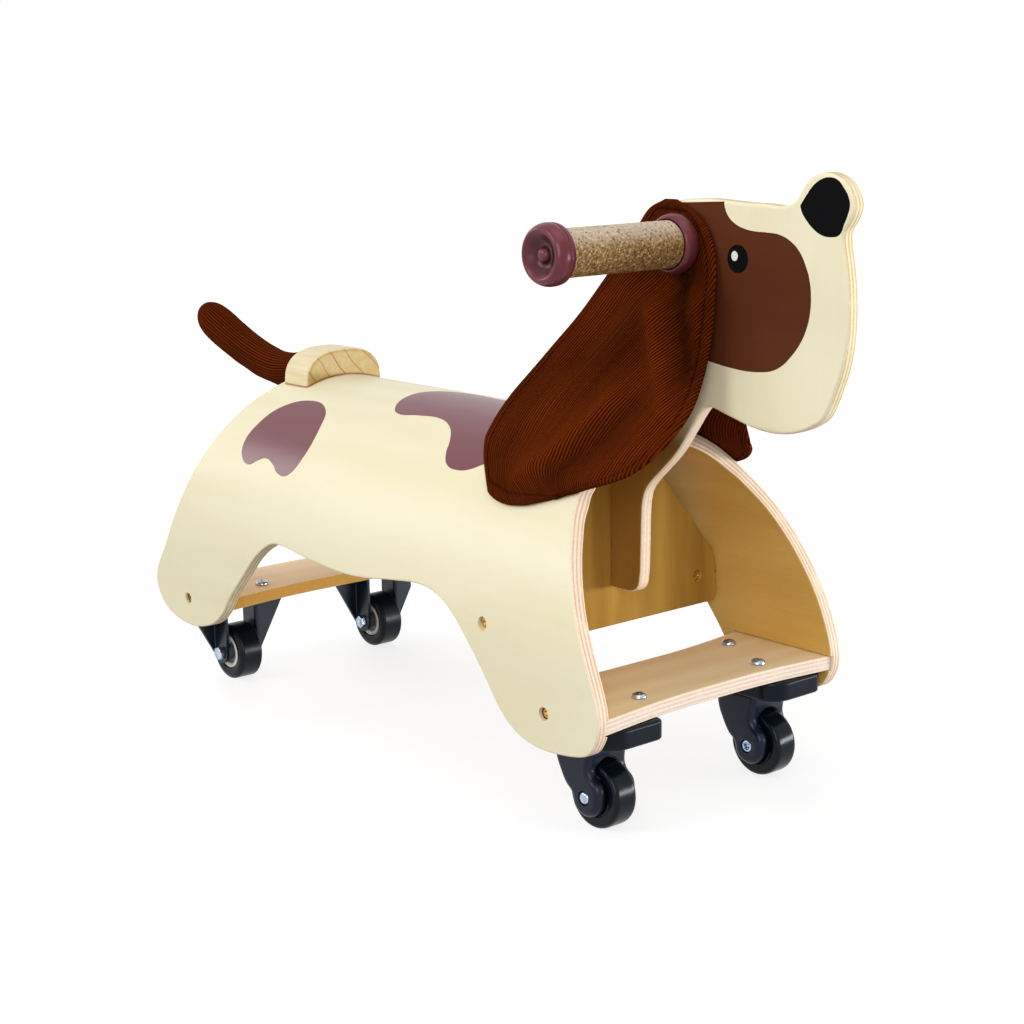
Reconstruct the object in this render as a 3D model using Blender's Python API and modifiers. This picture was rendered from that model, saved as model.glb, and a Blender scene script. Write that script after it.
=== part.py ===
# Ride-on toy dog: bent plywood arch on four casters, flat head board with a
# through handlebar, corduroy ears and tail. Metres, +Z up, +X ahead, +Y left.
import math

import bmesh
import bpy
from mathutils import Matrix, Vector

mm = 0.001

for old in list(bpy.data.objects):
    bpy.data.objects.remove(old, do_unlink=True)

# Frame
frame_shift = 5.6 * mm          # mid-wheelbase sits this far ahead of the origin
hair_gap = 0.3 * mm             # between parts that touch
run_gap = 0.6 * mm              # between parts that turn

# Arch
arch_half_width = 113.0 * mm
arch_top = 248.0 * mm
arch_spring = 114.0 * mm        # height where the flanks begin to curve in
arch_ply = 10.0 * mm
arch_round = 1.2 * mm
arch_front = 258.4 * mm         # the front foot's reach
arch_back = -275.4 * mm         # the rear foot's reach
arch_front_top = 190.0 * mm     # where the front and rear edges meet the top
arch_back_top = -195.0 * mm
arch_foot = 51.2 * mm
arch_steps = 36

# Cross boards
board_ply = 10.0 * mm
groove_depth = 3.0 * mm
front_board_top = 85.0 * mm
front_board_back = 168.0 * mm
front_board_front = 256.0 * mm
rear_board_top = 77.7 * mm
rear_board_back = -262.0 * mm
rear_board_front = -183.0 * mm
board_hollow = 7.5 * mm

# Bulkhead
bulkhead_face = 152.4 * mm
bulkhead_ply = 12.0 * mm
bulkhead_low = 106.0 * mm
bulkhead_side_gap = 3.8 * mm
bulkhead_top_half = 22.0 * mm
bulkhead_top_gap = 1.7 * mm

# Head and handle
head_ply = 10.0 * mm
head_round = 1.8 * mm
head_length = 208.7 * mm        # from the bulkhead to the snout
head_top = 398.6 * mm
neck_foot = 134.6 * mm
handle_x = bulkhead_face + 71.1 * mm
handle_z = head_top - 26.9 * mm
rod_radius = 8.0 * mm
grip_radius = 15.0 * mm
grip_inner = 19.5 * mm
grip_outer = 112.3 * mm
cap_radius = 19.4 * mm
collar_radius = 19.5 * mm
ear_cloth = 4.4 * mm
ear_bore = 9.5 * mm
ear_reach = 141.5 * mm          # from the handle back to the tip

# Block and tail
block_back = arch_back_top + 2.0 * mm
block_front = block_back + 33.0 * mm
block_half = 35.4 * mm
block_rise = 20.0 * mm
block_round = 2.6 * mm
tail_rise = 9.8 * mm            # the dowel's axis over the arch's top
peg_in_block = 13.4 * mm
peg_in_tail = 15.4 * mm

# Front casters
wheel_radius = 22.5 * mm
front_axle_x = 222.7 * mm
front_wheel_y = 75.6 * mm
front_wheel_half = 9.2 * mm
kingpin_x = 211.7 * mm
fork_half = 17.6 * mm
fork_cheek = 6.2 * mm
front_plate_thick = 14.0 * mm
front_plate_back = 170.0 * mm
front_plate_front = 254.4 * mm
front_plate_inner = 51.0 * mm
front_plate_outer = 98.5 * mm

# Rear casters
rear_axle_x = -222.7 * mm
rear_wheel_y = 70.8 * mm
rear_wheel_half = 10.5 * mm
rear_hub_radius = 13.4 * mm
rear_leg_gap = 13.2 * mm
rear_leg_sheet = 2.4 * mm
rear_leg_back = 11.5 * mm       # behind the axle
rear_leg_front = 7.7 * mm
rear_flange_foot = 20.7 * mm    # over the floor
rear_plate_half = 20.8 * mm
rear_plate_reach = 42.0 * mm    # across, from the wheel's middle

# Fixings
side_bolt_radius = 2.6 * mm
side_head_radius = 4.0 * mm
side_sink = 2.2 * mm
nut_radius = 4.0 * mm
nut_inset = 16.0 * mm           # from the arch's face in to the nut's axis
bulkhead_nut_inset = 32.5 * mm
front_bolt_x = 207.4 * mm
rear_bolt_x = -226.0 * mm
mid_bolt_z = 127.0 * mm
neck_screw_z = (152.0 * mm, 196.0 * mm)
neck_screw_bite = 18.6 * mm
board_screw_x = (234.8 * mm, 188.6 * mm)
board_screw_y = (55.6 * mm, 75.6 * mm)
rear_screw_x = (-206.5 * mm, -239.5 * mm)
rear_screw_y = (55.6 * mm, 86.0 * mm)


# Collections and materials
toy = bpy.data.collections.new("ride_on_dog")
bpy.context.scene.collection.children.link(toy)
cutters = bpy.data.collections.new("cutters")
bpy.context.scene.collection.children.link(cutters)
cutters.hide_render = True


def material(name, colour, roughness=0.5, metallic=0.0):
    made = bpy.data.materials.new(name)
    made.use_nodes = True
    shader = made.node_tree.nodes["Principled BSDF"]
    shader.inputs["Base Color"].default_value = (*colour, 1.0)
    shader.inputs["Roughness"].default_value = roughness
    shader.inputs["Metallic"].default_value = metallic
    return made


mat_arch = material("arch_plywood", (0.83, 0.76, 0.55), 0.38)
mat_board = material("board_plywood", (0.62, 0.42, 0.19), 0.42)
mat_head = material("head_plywood", (0.84, 0.77, 0.55), 0.4)
mat_pine = material("pine", (0.82, 0.64, 0.38), 0.45)
mat_cord = material("corduroy", (0.16, 0.045, 0.012), 0.95)
mat_rod = material("hardwood", (0.6, 0.42, 0.25), 0.5)
mat_cork = material("cork", (0.58, 0.4, 0.22), 0.85)
mat_mauve = material("purple_brown_plastic", (0.24, 0.085, 0.085), 0.35)
mat_black = material("black_plastic", (0.018, 0.019, 0.026), 0.4)
mat_tyre = material("black_rubber", (0.014, 0.014, 0.018), 0.5)
mat_hub = material("hub_plastic", (0.42, 0.42, 0.38), 0.4)
mat_fork = material("black_steel", (0.02, 0.023, 0.032), 0.38, 0.3)
mat_zinc = material("zinc_steel", (0.62, 0.66, 0.7), 0.3, 0.9)
mat_brass = material("brass_steel", (0.6, 0.5, 0.3), 0.35, 0.9)


# Making and cutting bodies
def link(name, mesh, where=toy, mat=None, smooth=False):
    made = bpy.data.objects.new(name, mesh)
    where.objects.link(made)
    if where == cutters:
        made.display_type = "WIRE"
    if mat:
        mesh.materials.clear()
        mesh.materials.append(mat)
    if smooth:
        for face in mesh.polygons:
            face.use_smooth = True
    return made


def baked(made):
    # Turn an object's modifiers into its mesh, joined at shared points
    bpy.context.view_layer.update()
    graph = bpy.context.evaluated_depsgraph_get()
    mesh = bpy.data.meshes.new_from_object(made.evaluated_get(graph))
    made.modifiers.clear()
    old = made.data
    made.data = mesh
    bpy.data.meshes.remove(old)
    return made


def weld(mesh, reach=1e-6):
    work = bmesh.new()
    work.from_mesh(mesh)
    bmesh.ops.remove_doubles(work, verts=work.verts, dist=reach)
    bmesh.ops.dissolve_degenerate(work, dist=reach, edges=work.edges)
    bmesh.ops.recalc_face_normals(work, faces=work.faces)
    work.to_mesh(mesh)
    work.free()


def cut(body, tool, how="DIFFERENCE"):
    step = body.modifiers.new("cut", "BOOLEAN")
    step.operation = how
    step.solver = "EXACT"
    step.object = tool
    baked(body)
    bpy.data.objects.remove(tool, do_unlink=True)
    weld(body.data)
    return body


def bevel(body, width, segments=2, angle=50.0):
    step = body.modifiers.new("round", "BEVEL")
    step.width = width
    step.segments = segments
    step.limit_method = "ANGLE"
    step.angle_limit = math.radians(angle)
    step.use_clamp_overlap = True
    baked(body)
    return body


def box(name, low, high, where=cutters, mat=None, round_by=0.0):
    work = bmesh.new()
    bmesh.ops.create_cube(work, size=1.0)
    size = Vector(high) - Vector(low)
    mid = (Vector(high) + Vector(low)) / 2
    for vert in work.verts:
        vert.co = Vector((vert.co.x * size.x, vert.co.y * size.y, vert.co.z * size.z)) + mid
    mesh = bpy.data.meshes.new(name)
    work.to_mesh(mesh)
    work.free()
    made = link(name, mesh, where, mat)
    if round_by:
        bevel(made, round_by)
    return made


def turned(name, profile, mat=None, where=toy, steps=32, axis="Y", at=(0, 0, 0), side=1):
    # Profile points are (radius, along); the solid is turned about the named axis
    mesh = bpy.data.meshes.new(name)
    verts = [(radius, 0.0, along) for radius, along in profile]
    closed = profile[0][0] > 1e-9 or profile[-1][0] > 1e-9
    edges = [(i, i + 1) for i in range(len(verts) - 1)]
    if closed:
        edges.append((len(verts) - 1, 0))
    mesh.from_pydata(verts, edges, [])
    made = link(name, mesh, where)
    screw = made.modifiers.new("turn", "SCREW")
    screw.axis = "Z"
    screw.steps = steps
    screw.render_steps = steps
    screw.use_merge_vertices = True
    screw.merge_threshold = 0.00001
    baked(made)
    turn = Matrix.Identity(4)
    if axis == "Y":
        turn = Matrix.Rotation(math.radians(-90.0 * side), 4, "X")
    if axis == "X":
        turn = Matrix.Rotation(math.radians(90.0 * side), 4, "Y")
    if axis == "Z" and side < 0:
        turn = Matrix.Rotation(math.radians(180.0), 4, "X")
    made.data.transform(turn)
    weld(made.data)
    if mat:
        made.data.materials.append(mat)
    for face in made.data.polygons:
        face.use_smooth = True
    made.location = at
    return made


def rod(name, radius, start, end, axis, at, mat=None, where=cutters, steps=10):
    profile = [(0.0, end), (radius, end), (radius, start), (0.0, start)]
    made = turned(name, profile, mat, where, steps, axis, (0, 0, 0))
    made.data.transform(Matrix.Translation(at))
    return made


flat = Matrix.Identity(4)
upright_xz = Matrix.Rotation(math.radians(90.0), 4, "X")
upright_yz = Matrix(((0, 0, 1, 0), (1, 0, 0, 0), (0, 1, 0, 0), (0, 0, 0, 1)))


def plate(name, outline, thick, plane, mat=None, where=toy, round_by=0.0, detail=4, rings=1):
    # Outline points are (u, v) in mm, or (u, v, "c") where the edge has a corner
    curve = bpy.data.curves.new(name, "CURVE")
    curve.dimensions = "2D"
    curve.fill_mode = "BOTH"
    curve.extrude = thick / 2 - round_by
    curve.bevel_depth = round_by
    curve.bevel_resolution = rings
    curve.offset = -round_by
    curve.resolution_u = detail
    spline = curve.splines.new("BEZIER")
    spline.bezier_points.add(len(outline) - 1)
    for point, spot in zip(spline.bezier_points, outline):
        point.co = (spot[0] * mm, spot[1] * mm, 0.0)
        kind = "VECTOR" if len(spot) > 2 else "AUTO"
        point.handle_left_type = kind
        point.handle_right_type = kind
    spline.use_cyclic_u = True
    holder = bpy.data.objects.new(name + "_line", curve)
    bpy.context.scene.collection.objects.link(holder)
    bpy.context.view_layer.update()
    graph = bpy.context.evaluated_depsgraph_get()
    mesh = bpy.data.meshes.new_from_object(holder.evaluated_get(graph))
    bpy.data.objects.remove(holder, do_unlink=True)
    bpy.data.curves.remove(curve)
    mesh.transform(plane)
    weld(mesh, 2e-6)
    return link(name, mesh, where, mat)


def shade_flat_sides(body, angle=40.0):
    for face in body.data.polygons:
        face.use_smooth = True
    body.data.set_sharp_from_angle(angle=math.radians(angle))


def arch_half(height, ply=0.0):
    # Half width of the arch at a height, ply measured inward from the outer face
    wide = arch_half_width - ply
    tall = arch_top - arch_spring - ply
    if height <= arch_spring:
        return wide
    return wide * math.sqrt(max(0.0, 1.0 - ((height - arch_spring) / tall) ** 2))


def arch_over(half, ply=0.0):
    # Height of the arch over a half width
    wide = arch_half_width - ply
    tall = arch_top - arch_spring - ply
    return arch_spring + tall * math.sqrt(max(0.0, 1.0 - (half / wide) ** 2))


def mapped(value, drawn, wanted):
    # Carry a drawn number to its place between the wanted sizes
    i = 0
    while i < len(drawn) - 2 and value > drawn[i + 1]:
        i += 1
    share = (value - drawn[i]) / (drawn[i + 1] - drawn[i])
    return (wanted[i] + (wanted[i + 1] - wanted[i]) * share) / mm


def fitted(outline, drawn_x, wanted_x, drawn_z, wanted_z):
    made = []
    for spot in outline:
        place = (mapped(spot[0], drawn_x, wanted_x), mapped(spot[1], drawn_z, wanted_z))
        made.append(place + tuple(spot[2:]))
    return made


# The arch: a bent sheet, cut to its side outline
def arch_solid(name, outer, inner, back, front, foot, where):
    ring = []
    for ply in (outer, inner):
        wide = arch_half_width - ply
        tall = arch_top - arch_spring - ply
        side = [(-wide, foot)]
        for i in range(arch_steps + 1):
            turn = math.pi * i / arch_steps
            side.append((-wide * math.cos(turn), arch_spring + tall * math.sin(turn)))
        side.append((wide, foot))
        ring.append(side)
    loop = ring[0] + ring[1][::-1]
    work = bmesh.new()
    rear = [work.verts.new((back, y, z)) for y, z in loop]
    fore = [work.verts.new((front, y, z)) for y, z in loop]
    n = len(ring[0])
    last = len(loop) - 1
    for i in range(len(loop)):
        j = (i + 1) % len(loop)
        work.faces.new((rear[i], rear[j], fore[j], fore[i]))
    for i in range(n - 1):
        work.faces.new((rear[i], rear[last - i], rear[last - i - 1], rear[i + 1]))
        work.faces.new((fore[i], fore[i + 1], fore[last - i - 1], fore[last - i]))
    bmesh.ops.recalc_face_normals(work, faces=work.faces)
    mesh = bpy.data.meshes.new(name)
    work.to_mesh(mesh)
    work.free()
    return link(name, mesh, where)


arch_drawn = [
    (190, 262, "c"), (191, 244), (199.5, 213), (212.7, 189), (230.8, 154), (246, 123), (255.4, 99.5),
    (258.4, 84), (255.6, 71), (246, 61), (222, 56.2), (198, 56), (178, 61.6), (162, 74), (148.6, 91),
    (129, 113.5), (112, 129), (94, 137.6), (73, 140.2), (42, 137), (10, 132.8), (-20, 132), (-62, 135),
    (-88, 138), (-106, 136.6), (-124, 125), (-142, 107), (-162.5, 86), (-176, 69), (-192, 57.6),
    (-216, 51.2), (-240, 51.8), (-259, 57.6), (-271.6, 68.6), (-275.4, 82), (-270.6, 95),
    (-257, 115), (-241, 147), (-229, 176), (-213, 212), (-204.5, 229.5), (-198.4, 239), (-195.4, 249),
    (-195, 262, "c"),
]
arch_outline = fitted(
    arch_drawn,
    (-275.4, -195.0, 190.0, 258.4), (arch_back, arch_back_top, arch_front_top, arch_front),
    (51.2, 248.0), (arch_foot, arch_top),
)
past = 12 * mm                  # how far a cutter runs past what it cuts
shell = arch_solid("body_shell", 0.0, arch_ply, arch_back - past, arch_front + past, arch_foot - past, toy)
outline_tool = plate(
    "outline_tool", arch_outline, 2 * (arch_half_width + past), upright_xz, None, cutters, 0.0, 2
)
cut(shell, outline_tool, "INTERSECT")
bevel(shell, arch_round, 1, 55.0)
shell.data.materials.append(mat_arch)

neck_slot = box(
    "neck_slot",
    (bulkhead_face, -head_ply / 2 - hair_gap, arch_top - arch_ply - 4 * past),
    (arch_front + past, head_ply / 2 + hair_gap, arch_top + past),
)
cut(shell, neck_slot)
groove_half = arch_half_width - arch_ply + groove_depth
front_groove = box(
    "front_groove",
    (front_board_back - hair_gap, -groove_half - hair_gap, front_board_top - board_ply - hair_gap),
    (max(front_board_front, arch_front) + past, groove_half + hair_gap, front_board_top + hair_gap),
)
cut(shell, front_groove)
rear_groove = box(
    "rear_groove",
    (rear_board_back - hair_gap, -groove_half - hair_gap, rear_board_top - board_ply - hair_gap),
    (rear_board_front + hair_gap, groove_half + hair_gap, rear_board_top + hair_gap),
)
cut(shell, rear_groove)


# Cross boards with hollowed long edges
def cross_board(name, back, front, top, hollow_back, hollow_front):
    half = groove_half / mm
    b = back / mm
    f = front / mm
    outline = [
        (b, -half, "c"), (f, -half, "c"), (f - 0.9 * hollow_front, -half * 0.42),
        (f - hollow_front, 0.0), (f - 0.9 * hollow_front, half * 0.42), (f, half, "c"),
        (b, half, "c"), (b + 0.9 * hollow_back, half * 0.42), (b + hollow_back, 0.0),
        (b + 0.9 * hollow_back, -half * 0.42),
    ]
    made = plate(name, outline, board_ply, flat, mat_board, toy, 0.0, 3)
    made.data.transform(Matrix.Translation((0, 0, top - board_ply / 2)))
    bevel(made, 0.7 * mm, 1, 40.0)
    return made


hollow = board_hollow / mm
front_board = cross_board(
    "front_board", front_board_back, front_board_front, front_board_top, hollow, hollow
)
rear_board = cross_board(
    "rear_board", rear_board_back, rear_board_front, rear_board_top, 0.5 * hollow, 1.1 * hollow
)

# Bulkhead under the front of the arch
side_half = (arch_half_width - arch_ply - bulkhead_side_gap) / mm
low = bulkhead_low / mm
shoulder = arch_spring / mm
crown_half = bulkhead_top_half / mm
crown = (arch_over(bulkhead_top_half, arch_ply) - bulkhead_top_gap) / mm
right_edge = [
    (side_half - 2.7, low, "c"), (side_half - 0.2, low + 2.5), (side_half, shoulder + 10, "c"),
    (side_half - 0.4, shoulder + 20, "c"), (side_half - 1.8, shoulder + 26.6),
    (side_half - 5.8, shoulder + 32.6, "c"), (crown_half, crown, "c"), (crown_half - 2.4, crown + 1.8),
]
bulkhead_outline = right_edge + [(-spot[0],) + tuple(spot[1:]) for spot in right_edge[::-1]]
bulkhead = plate("bulkhead", bulkhead_outline, bulkhead_ply, upright_yz, mat_board, toy, 0.0, 1)
bulkhead.data.transform(Matrix.Translation((bulkhead_face - bulkhead_ply / 2, 0, 0)))
bevel(bulkhead, 0.6 * mm, 1, 55.0)

# Head and neck board
head_drawn = [
    (219, 398.4), (290, 398.6), (311, 399), (317.6, 403.6), (321.4, 409), (326, 414), (332, 417.2),
    (340, 418.5), (348, 416.8), (354.4, 413.2), (359, 407.2), (361.4, 400.4), (360.6, 395.6),
    (357.4, 389.6), (354, 384.6), (353.8, 377), (355.4, 369), (358, 351), (358.7, 334), (357.4, 316.6),
    (354.6, 303.4), (349.4, 289.4), (344.6, 278.8), (340, 271.8), (333.5, 267.3), (322, 262.3),
    (309, 259.3), (296, 258.8), (282, 260.4), (268, 263.6), (251.6, 268.1),
    (245.6, 267.4), (240.6, 263.6), (231, 252), (217.1, 235.5), (202.9, 221.6), (194, 213.4),
    (188.2, 206.2), (185.6, 198.6), (184.8, 189.8), (183.8, 160), (182.9, 146), (180.6, 138.4),
    (175.5, 135), (168, 134.6), (155, 134.6), (152.7, 137, "c"), (152.7, 252, "c"), (156, 262),
    (164, 276), (175, 296), (183.5, 320), (187.5, 350), (190.5, 372), (196.5, 385), (206, 394.5),
]
head_outline = fitted(
    head_drawn,
    (152.7, 361.4), (bulkhead_face + hair_gap, bulkhead_face + hair_gap + head_length),
    (134.6, 398.6), (neck_foot, head_top),
)
head = plate("head_board", head_outline, head_ply, upright_xz, mat_head, toy, head_round, 2, 1)

# Block across the rear of the back, hollowed to sit on the arch
half = block_half / mm
crest = (arch_top + block_rise) / mm
right_edge = [
    (half, crest - 43, "c"), (half, crest - 21, "c"), (half - 0.8, crest - 16.6), (half - 3.4, crest - 11.2),
    (half - 7.8, crest - 6.4), (half - 13.9, crest - 3), (half - 23.4, crest - 0.7),
]
block_outline = right_edge + [(0, crest)] + [(-spot[0],) + tuple(spot[1:]) for spot in right_edge[::-1]]
block = plate(
    "back_block", block_outline, block_front - block_back, upright_yz, mat_pine, toy, block_round, 2, 1
)
block.data.transform(Matrix.Translation(((block_front + block_back) / 2, 0, 0)))
seat_tool = arch_solid(
    "seat_tool", -hair_gap, 6 * arch_ply, block_back - past, block_front + past, arch_foot - past, cutters
)
cut(block, seat_tool)
shade_flat_sides(block)

# Stuffed tail rising behind the block
tail_line = [
    (-0.6, 0.0, 8.0), (-5.0, 0.0, 8.6), (-11.0, -2.6, 10.6), (-19.0, -7.6, 12.6), (-31.0, -11.6, 13.8),
    (-45.0, -13.8, 14.4), (-59.0, -13.6, 14.6), (-79.0, -10.2, 14.6), (-98.0, -5.0, 14.6),
    (-115.0, 0.8, 14.8), (-131.0, 6.6, 15.2), (-145.0, 12.4, 15.4), (-156.0, 17.4, 14.8),
    (-164.6, 21.6, 12.8), (-171.0, 25.0, 9.0), (-174.4, 26.8, 4.6),
]                               # behind the block and over the dowel's axis
tail_from = Vector((block_back, 0.0, arch_top + tail_rise))


def stuffed(name, line, around, mat):
    work = bmesh.new()
    rings = []
    for i, (x, z, radius) in enumerate(line):
        before = line[max(i - 1, 0)]
        after = line[min(i + 1, len(line) - 1)]
        ahead = Vector((after[0] - before[0], 0.0, after[1] - before[1])).normalized()
        lift = Vector((0, 1, 0)).cross(ahead).normalized()
        crease = 1.0 - 0.05 * math.exp(-((x + 103.0) / 7.0) ** 2)
        ring = []
        for k in range(around):
            turn = 2 * math.pi * k / around
            fold = crease if math.sin(turn) > -0.2 else 1.0
            away = Vector((0, 1, 0)) * math.cos(turn) * 0.98 + lift * math.sin(turn) * fold
            ring.append(work.verts.new(tail_from + (Vector((x, 0, z)) + away * radius) * mm))
        rings.append(ring)
    for ring, other in zip(rings[:-1], rings[1:]):
        for k in range(around):
            n = (k + 1) % around
            work.faces.new((ring[k], ring[n], other[n], other[k]))
    work.faces.new(rings[0])
    work.faces.new(rings[-1])
    bmesh.ops.recalc_face_normals(work, faces=work.faces)
    mesh = bpy.data.meshes.new(name)
    work.to_mesh(mesh)
    work.free()
    return link(name, mesh, toy, mat, True)


tail = stuffed("tail", tail_line, 18, mat_cord)

# A dowel carries the tail on the block
peg_radius = 3.5 * mm
peg_front = peg_in_block
peg_back = -peg_in_tail
peg_spare = 2 * hair_gap
for body in (tail, block):
    bore = rod("peg_bore", peg_radius + hair_gap, peg_back - peg_spare, peg_front + peg_spare, "X", tail_from)
    cut(body, bore)
peg = turned(
    "tail_peg",
    [(0.0, peg_front), (peg_radius, peg_front), (peg_radius, peg_back), (0.0, peg_back)],
    mat_rod, toy, 14, "X", tail_from,
)
tail.data.materials.clear()
tail.data.materials.append(mat_cord)

# Floppy ears: two edges run from the handle to the tip, cloth hangs between
ear_rear = [
    (209, 8.2, 399), (193, 8.8, 390.5), (178, 13.5, 367), (165, 17, 348.7), (144.5, 22, 322.8),
    (123.4, 26, 301.4), (104, 31, 281), (89, 38, 262.4), (83, 50, 243), (88, 60.5, 230), (121, 84.5, 207),
]
ear_front = [
    (219, 8.2, 399), (240, 8.4, 388.5), (252, 9.2, 370.7), (257.6, 12, 340), (259, 16.5, 313),
    (258, 22, 291), (256.6, 31.5, 270), (247, 44, 249), (233, 60, 231.5), (207, 73.5, 220.5),
    (178.3, 81.3, 210.9),
]
ear_tip_droop = Vector((0.0, 4.5, -6.5))


# The edges are drawn about a handle at 223.5, 371.7 over a back at 248
def placed(line):
    made = []
    for x, y, z in line:
        across = mapped(x, (82.0, 223.5), (handle_x - ear_reach, handle_x))
        made.append((across, y, mapped(z, (248.0, 371.7), (arch_top, handle_z))))
    return made


ear_rear = placed(ear_rear)
ear_front = placed(ear_front)

# Near the handle the cloth lies flat between the head and the collar
clamp_y = head_ply / 2 + hair_gap + ear_cloth / 2 + 0.2 * mm


def along_line(points, share):
    # A smooth path through the points, share runs from 0 to 1
    spot = share * (len(points) - 1)
    i = min(int(spot), len(points) - 2)
    t = spot - i
    p1 = Vector(points[i])
    p2 = Vector(points[i + 1])
    p0 = Vector(points[i - 1]) if i > 0 else p1 * 2 - p2
    p3 = Vector(points[i + 2]) if i + 2 < len(points) else p2 * 2 - p1
    return 0.5 * (
        2 * p1 + (p2 - p0) * t + (2 * p0 - 5 * p1 + 4 * p2 - p3) * t * t
        + (3 * p1 - p0 - 3 * p2 + p3) * t * t * t
    )


def off_the_arch(spot, lift):
    # Push a point out until it lies clear of the arch's outer face
    low = arch_spring / mm
    if spot.z < low:
        return spot
    wide = arch_half_width / mm + lift
    tall = (arch_top - arch_spring) / mm + lift
    reach = math.hypot(spot.y / wide, (spot.z - low) / tall)
    if reach >= 1.0:
        return spot
    return Vector((spot.x, spot.y / reach, low + (spot.z - low) / reach))


def ear(name, side):
    rows = 17
    cols = 10
    work = bmesh.new()
    grid = []
    for r in range(rows + 1):
        share = r / rows
        rear = along_line(ear_rear, share)
        fore = along_line(ear_front, share)
        line = []
        for c in range(cols + 1):
            across = c / cols
            spot = rear.lerp(fore, across)
            belly = math.sin(math.pi * across)
            spot.y += 5.0 * belly * math.sin(math.pi * min(1.0, share * 1.25))
            fold = math.exp(-((across - 0.36 - 0.12 * share) / 0.12) ** 2)
            fold -= 0.8 * math.exp(-((across - 0.62 - 0.05 * share) / 0.1) ** 2)
            spot.y += 5.5 * fold * math.sin(math.pi * share) * belly
            if share > 0.72:
                spot += ear_tip_droop * ((share - 0.72) / 0.28) ** 1.5 * belly ** 0.75
            away = math.hypot(spot.x - handle_x / mm, spot.z - handle_z / mm)
            free = min(1.0, max(0.0, (away - 24.0) / 26.0))
            spot.y = clamp_y / mm + (spot.y - clamp_y / mm) * free * free * (3.0 - 2.0 * free)
            spot = off_the_arch(spot, ear_cloth / mm / 2 + 0.9)
            line.append(work.verts.new((spot.x * mm, side * spot.y * mm, spot.z * mm)))
        grid.append(line)
    for low, high in zip(grid[:-1], grid[1:]):
        for c in range(cols):
            work.faces.new((low[c], low[c + 1], high[c + 1], high[c]))
    bmesh.ops.recalc_face_normals(work, faces=work.faces)
    mesh = bpy.data.meshes.new(name)
    work.to_mesh(mesh)
    work.free()
    made = link(name, mesh, toy)
    step = made.modifiers.new("cloth", "SOLIDIFY")
    step.thickness = ear_cloth
    step.offset = 0.0
    step.use_even_offset = True
    baked(made)
    weld(made.data)
    hole = rod("ear_hole", ear_bore, -60 * mm, 60 * mm, "Y", (handle_x, 0, handle_z), None, cutters, 24)
    cut(made, hole)
    made.data.materials.clear()
    made.data.materials.append(mat_cord)
    for face in made.data.polygons:
        face.use_smooth = True
    return made


ears = [ear("ear_left", 1), ear("ear_right", -1)]

# Handlebar through the head
head_bore = rod(
    "head_bore", rod_radius + hair_gap, -20 * mm, 20 * mm, "Y", (handle_x, 0, handle_z), None, cutters, 20
)
cut(head, head_bore)
head.data.materials.clear()
head.data.materials.append(mat_head)
shade_flat_sides(head, 30.0)

rod_half = grip_outer + 4 * mm
handle_rod = turned(
    "handle_rod",
    [(0.0, rod_half), (rod_radius, rod_half), (rod_radius, -rod_half), (0.0, -rod_half)],
    mat_rod, toy, 24, "Y", (handle_x, 0, handle_z),
)
sleeve = rod_radius + hair_gap
ear_outer = clamp_y + ear_cloth / 2 + 0.6 * mm
for side, hand in ((1, "left"), (-1, "right")):
    grip = [
        (sleeve, grip_outer), (grip_radius - 0.8 * mm, grip_outer), (grip_radius, grip_outer - 0.8 * mm),
        (grip_radius, grip_inner + 0.8 * mm), (grip_radius - 0.8 * mm, grip_inner), (sleeve, grip_inner),
    ]
    turned("grip_" + hand, grip, mat_cork, toy, 20, "Y", (handle_x, 0, handle_z), side)
    inner = grip_inner - hair_gap
    lip = grip_inner + 1.3 * mm
    collar = [
        (sleeve, inner), (grip_radius + hair_gap, inner), (grip_radius + hair_gap, lip),
        (16.8 * mm, lip), (18.6 * mm, ear_outer + 3.6 * mm), (collar_radius, ear_outer + 2.2 * mm),
        (collar_radius, ear_outer + 0.8 * mm), (18.6 * mm, ear_outer), (sleeve, ear_outer),
    ]
    turned("grip_collar_" + hand, collar, mat_mauve, toy, 20, "Y", (handle_x, 0, handle_z), side)
    start = grip_outer + hair_gap
    cap = [
        (0.0, start + 12.6 * mm), (2.6 * mm, start + 12.2 * mm), (4.6 * mm, start + 9.8 * mm),
        (8.0 * mm, start + 10.3 * mm), (12.0 * mm, start + 14.2 * mm), (16.4 * mm, start + 13.3 * mm),
        (cap_radius, start + 7.4 * mm), (cap_radius - 0.2 * mm, start + 3.0 * mm),
        (18.2 * mm, start + 0.6 * mm),
        (16.4 * mm, start), (sleeve, start), (sleeve, start + 4.6 * mm), (0.0, start + 4.6 * mm),
    ]
    turned("grip_cap_" + hand, cap, mat_mauve, toy, 20, "Y", (handle_x, 0, handle_z), side)


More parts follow.
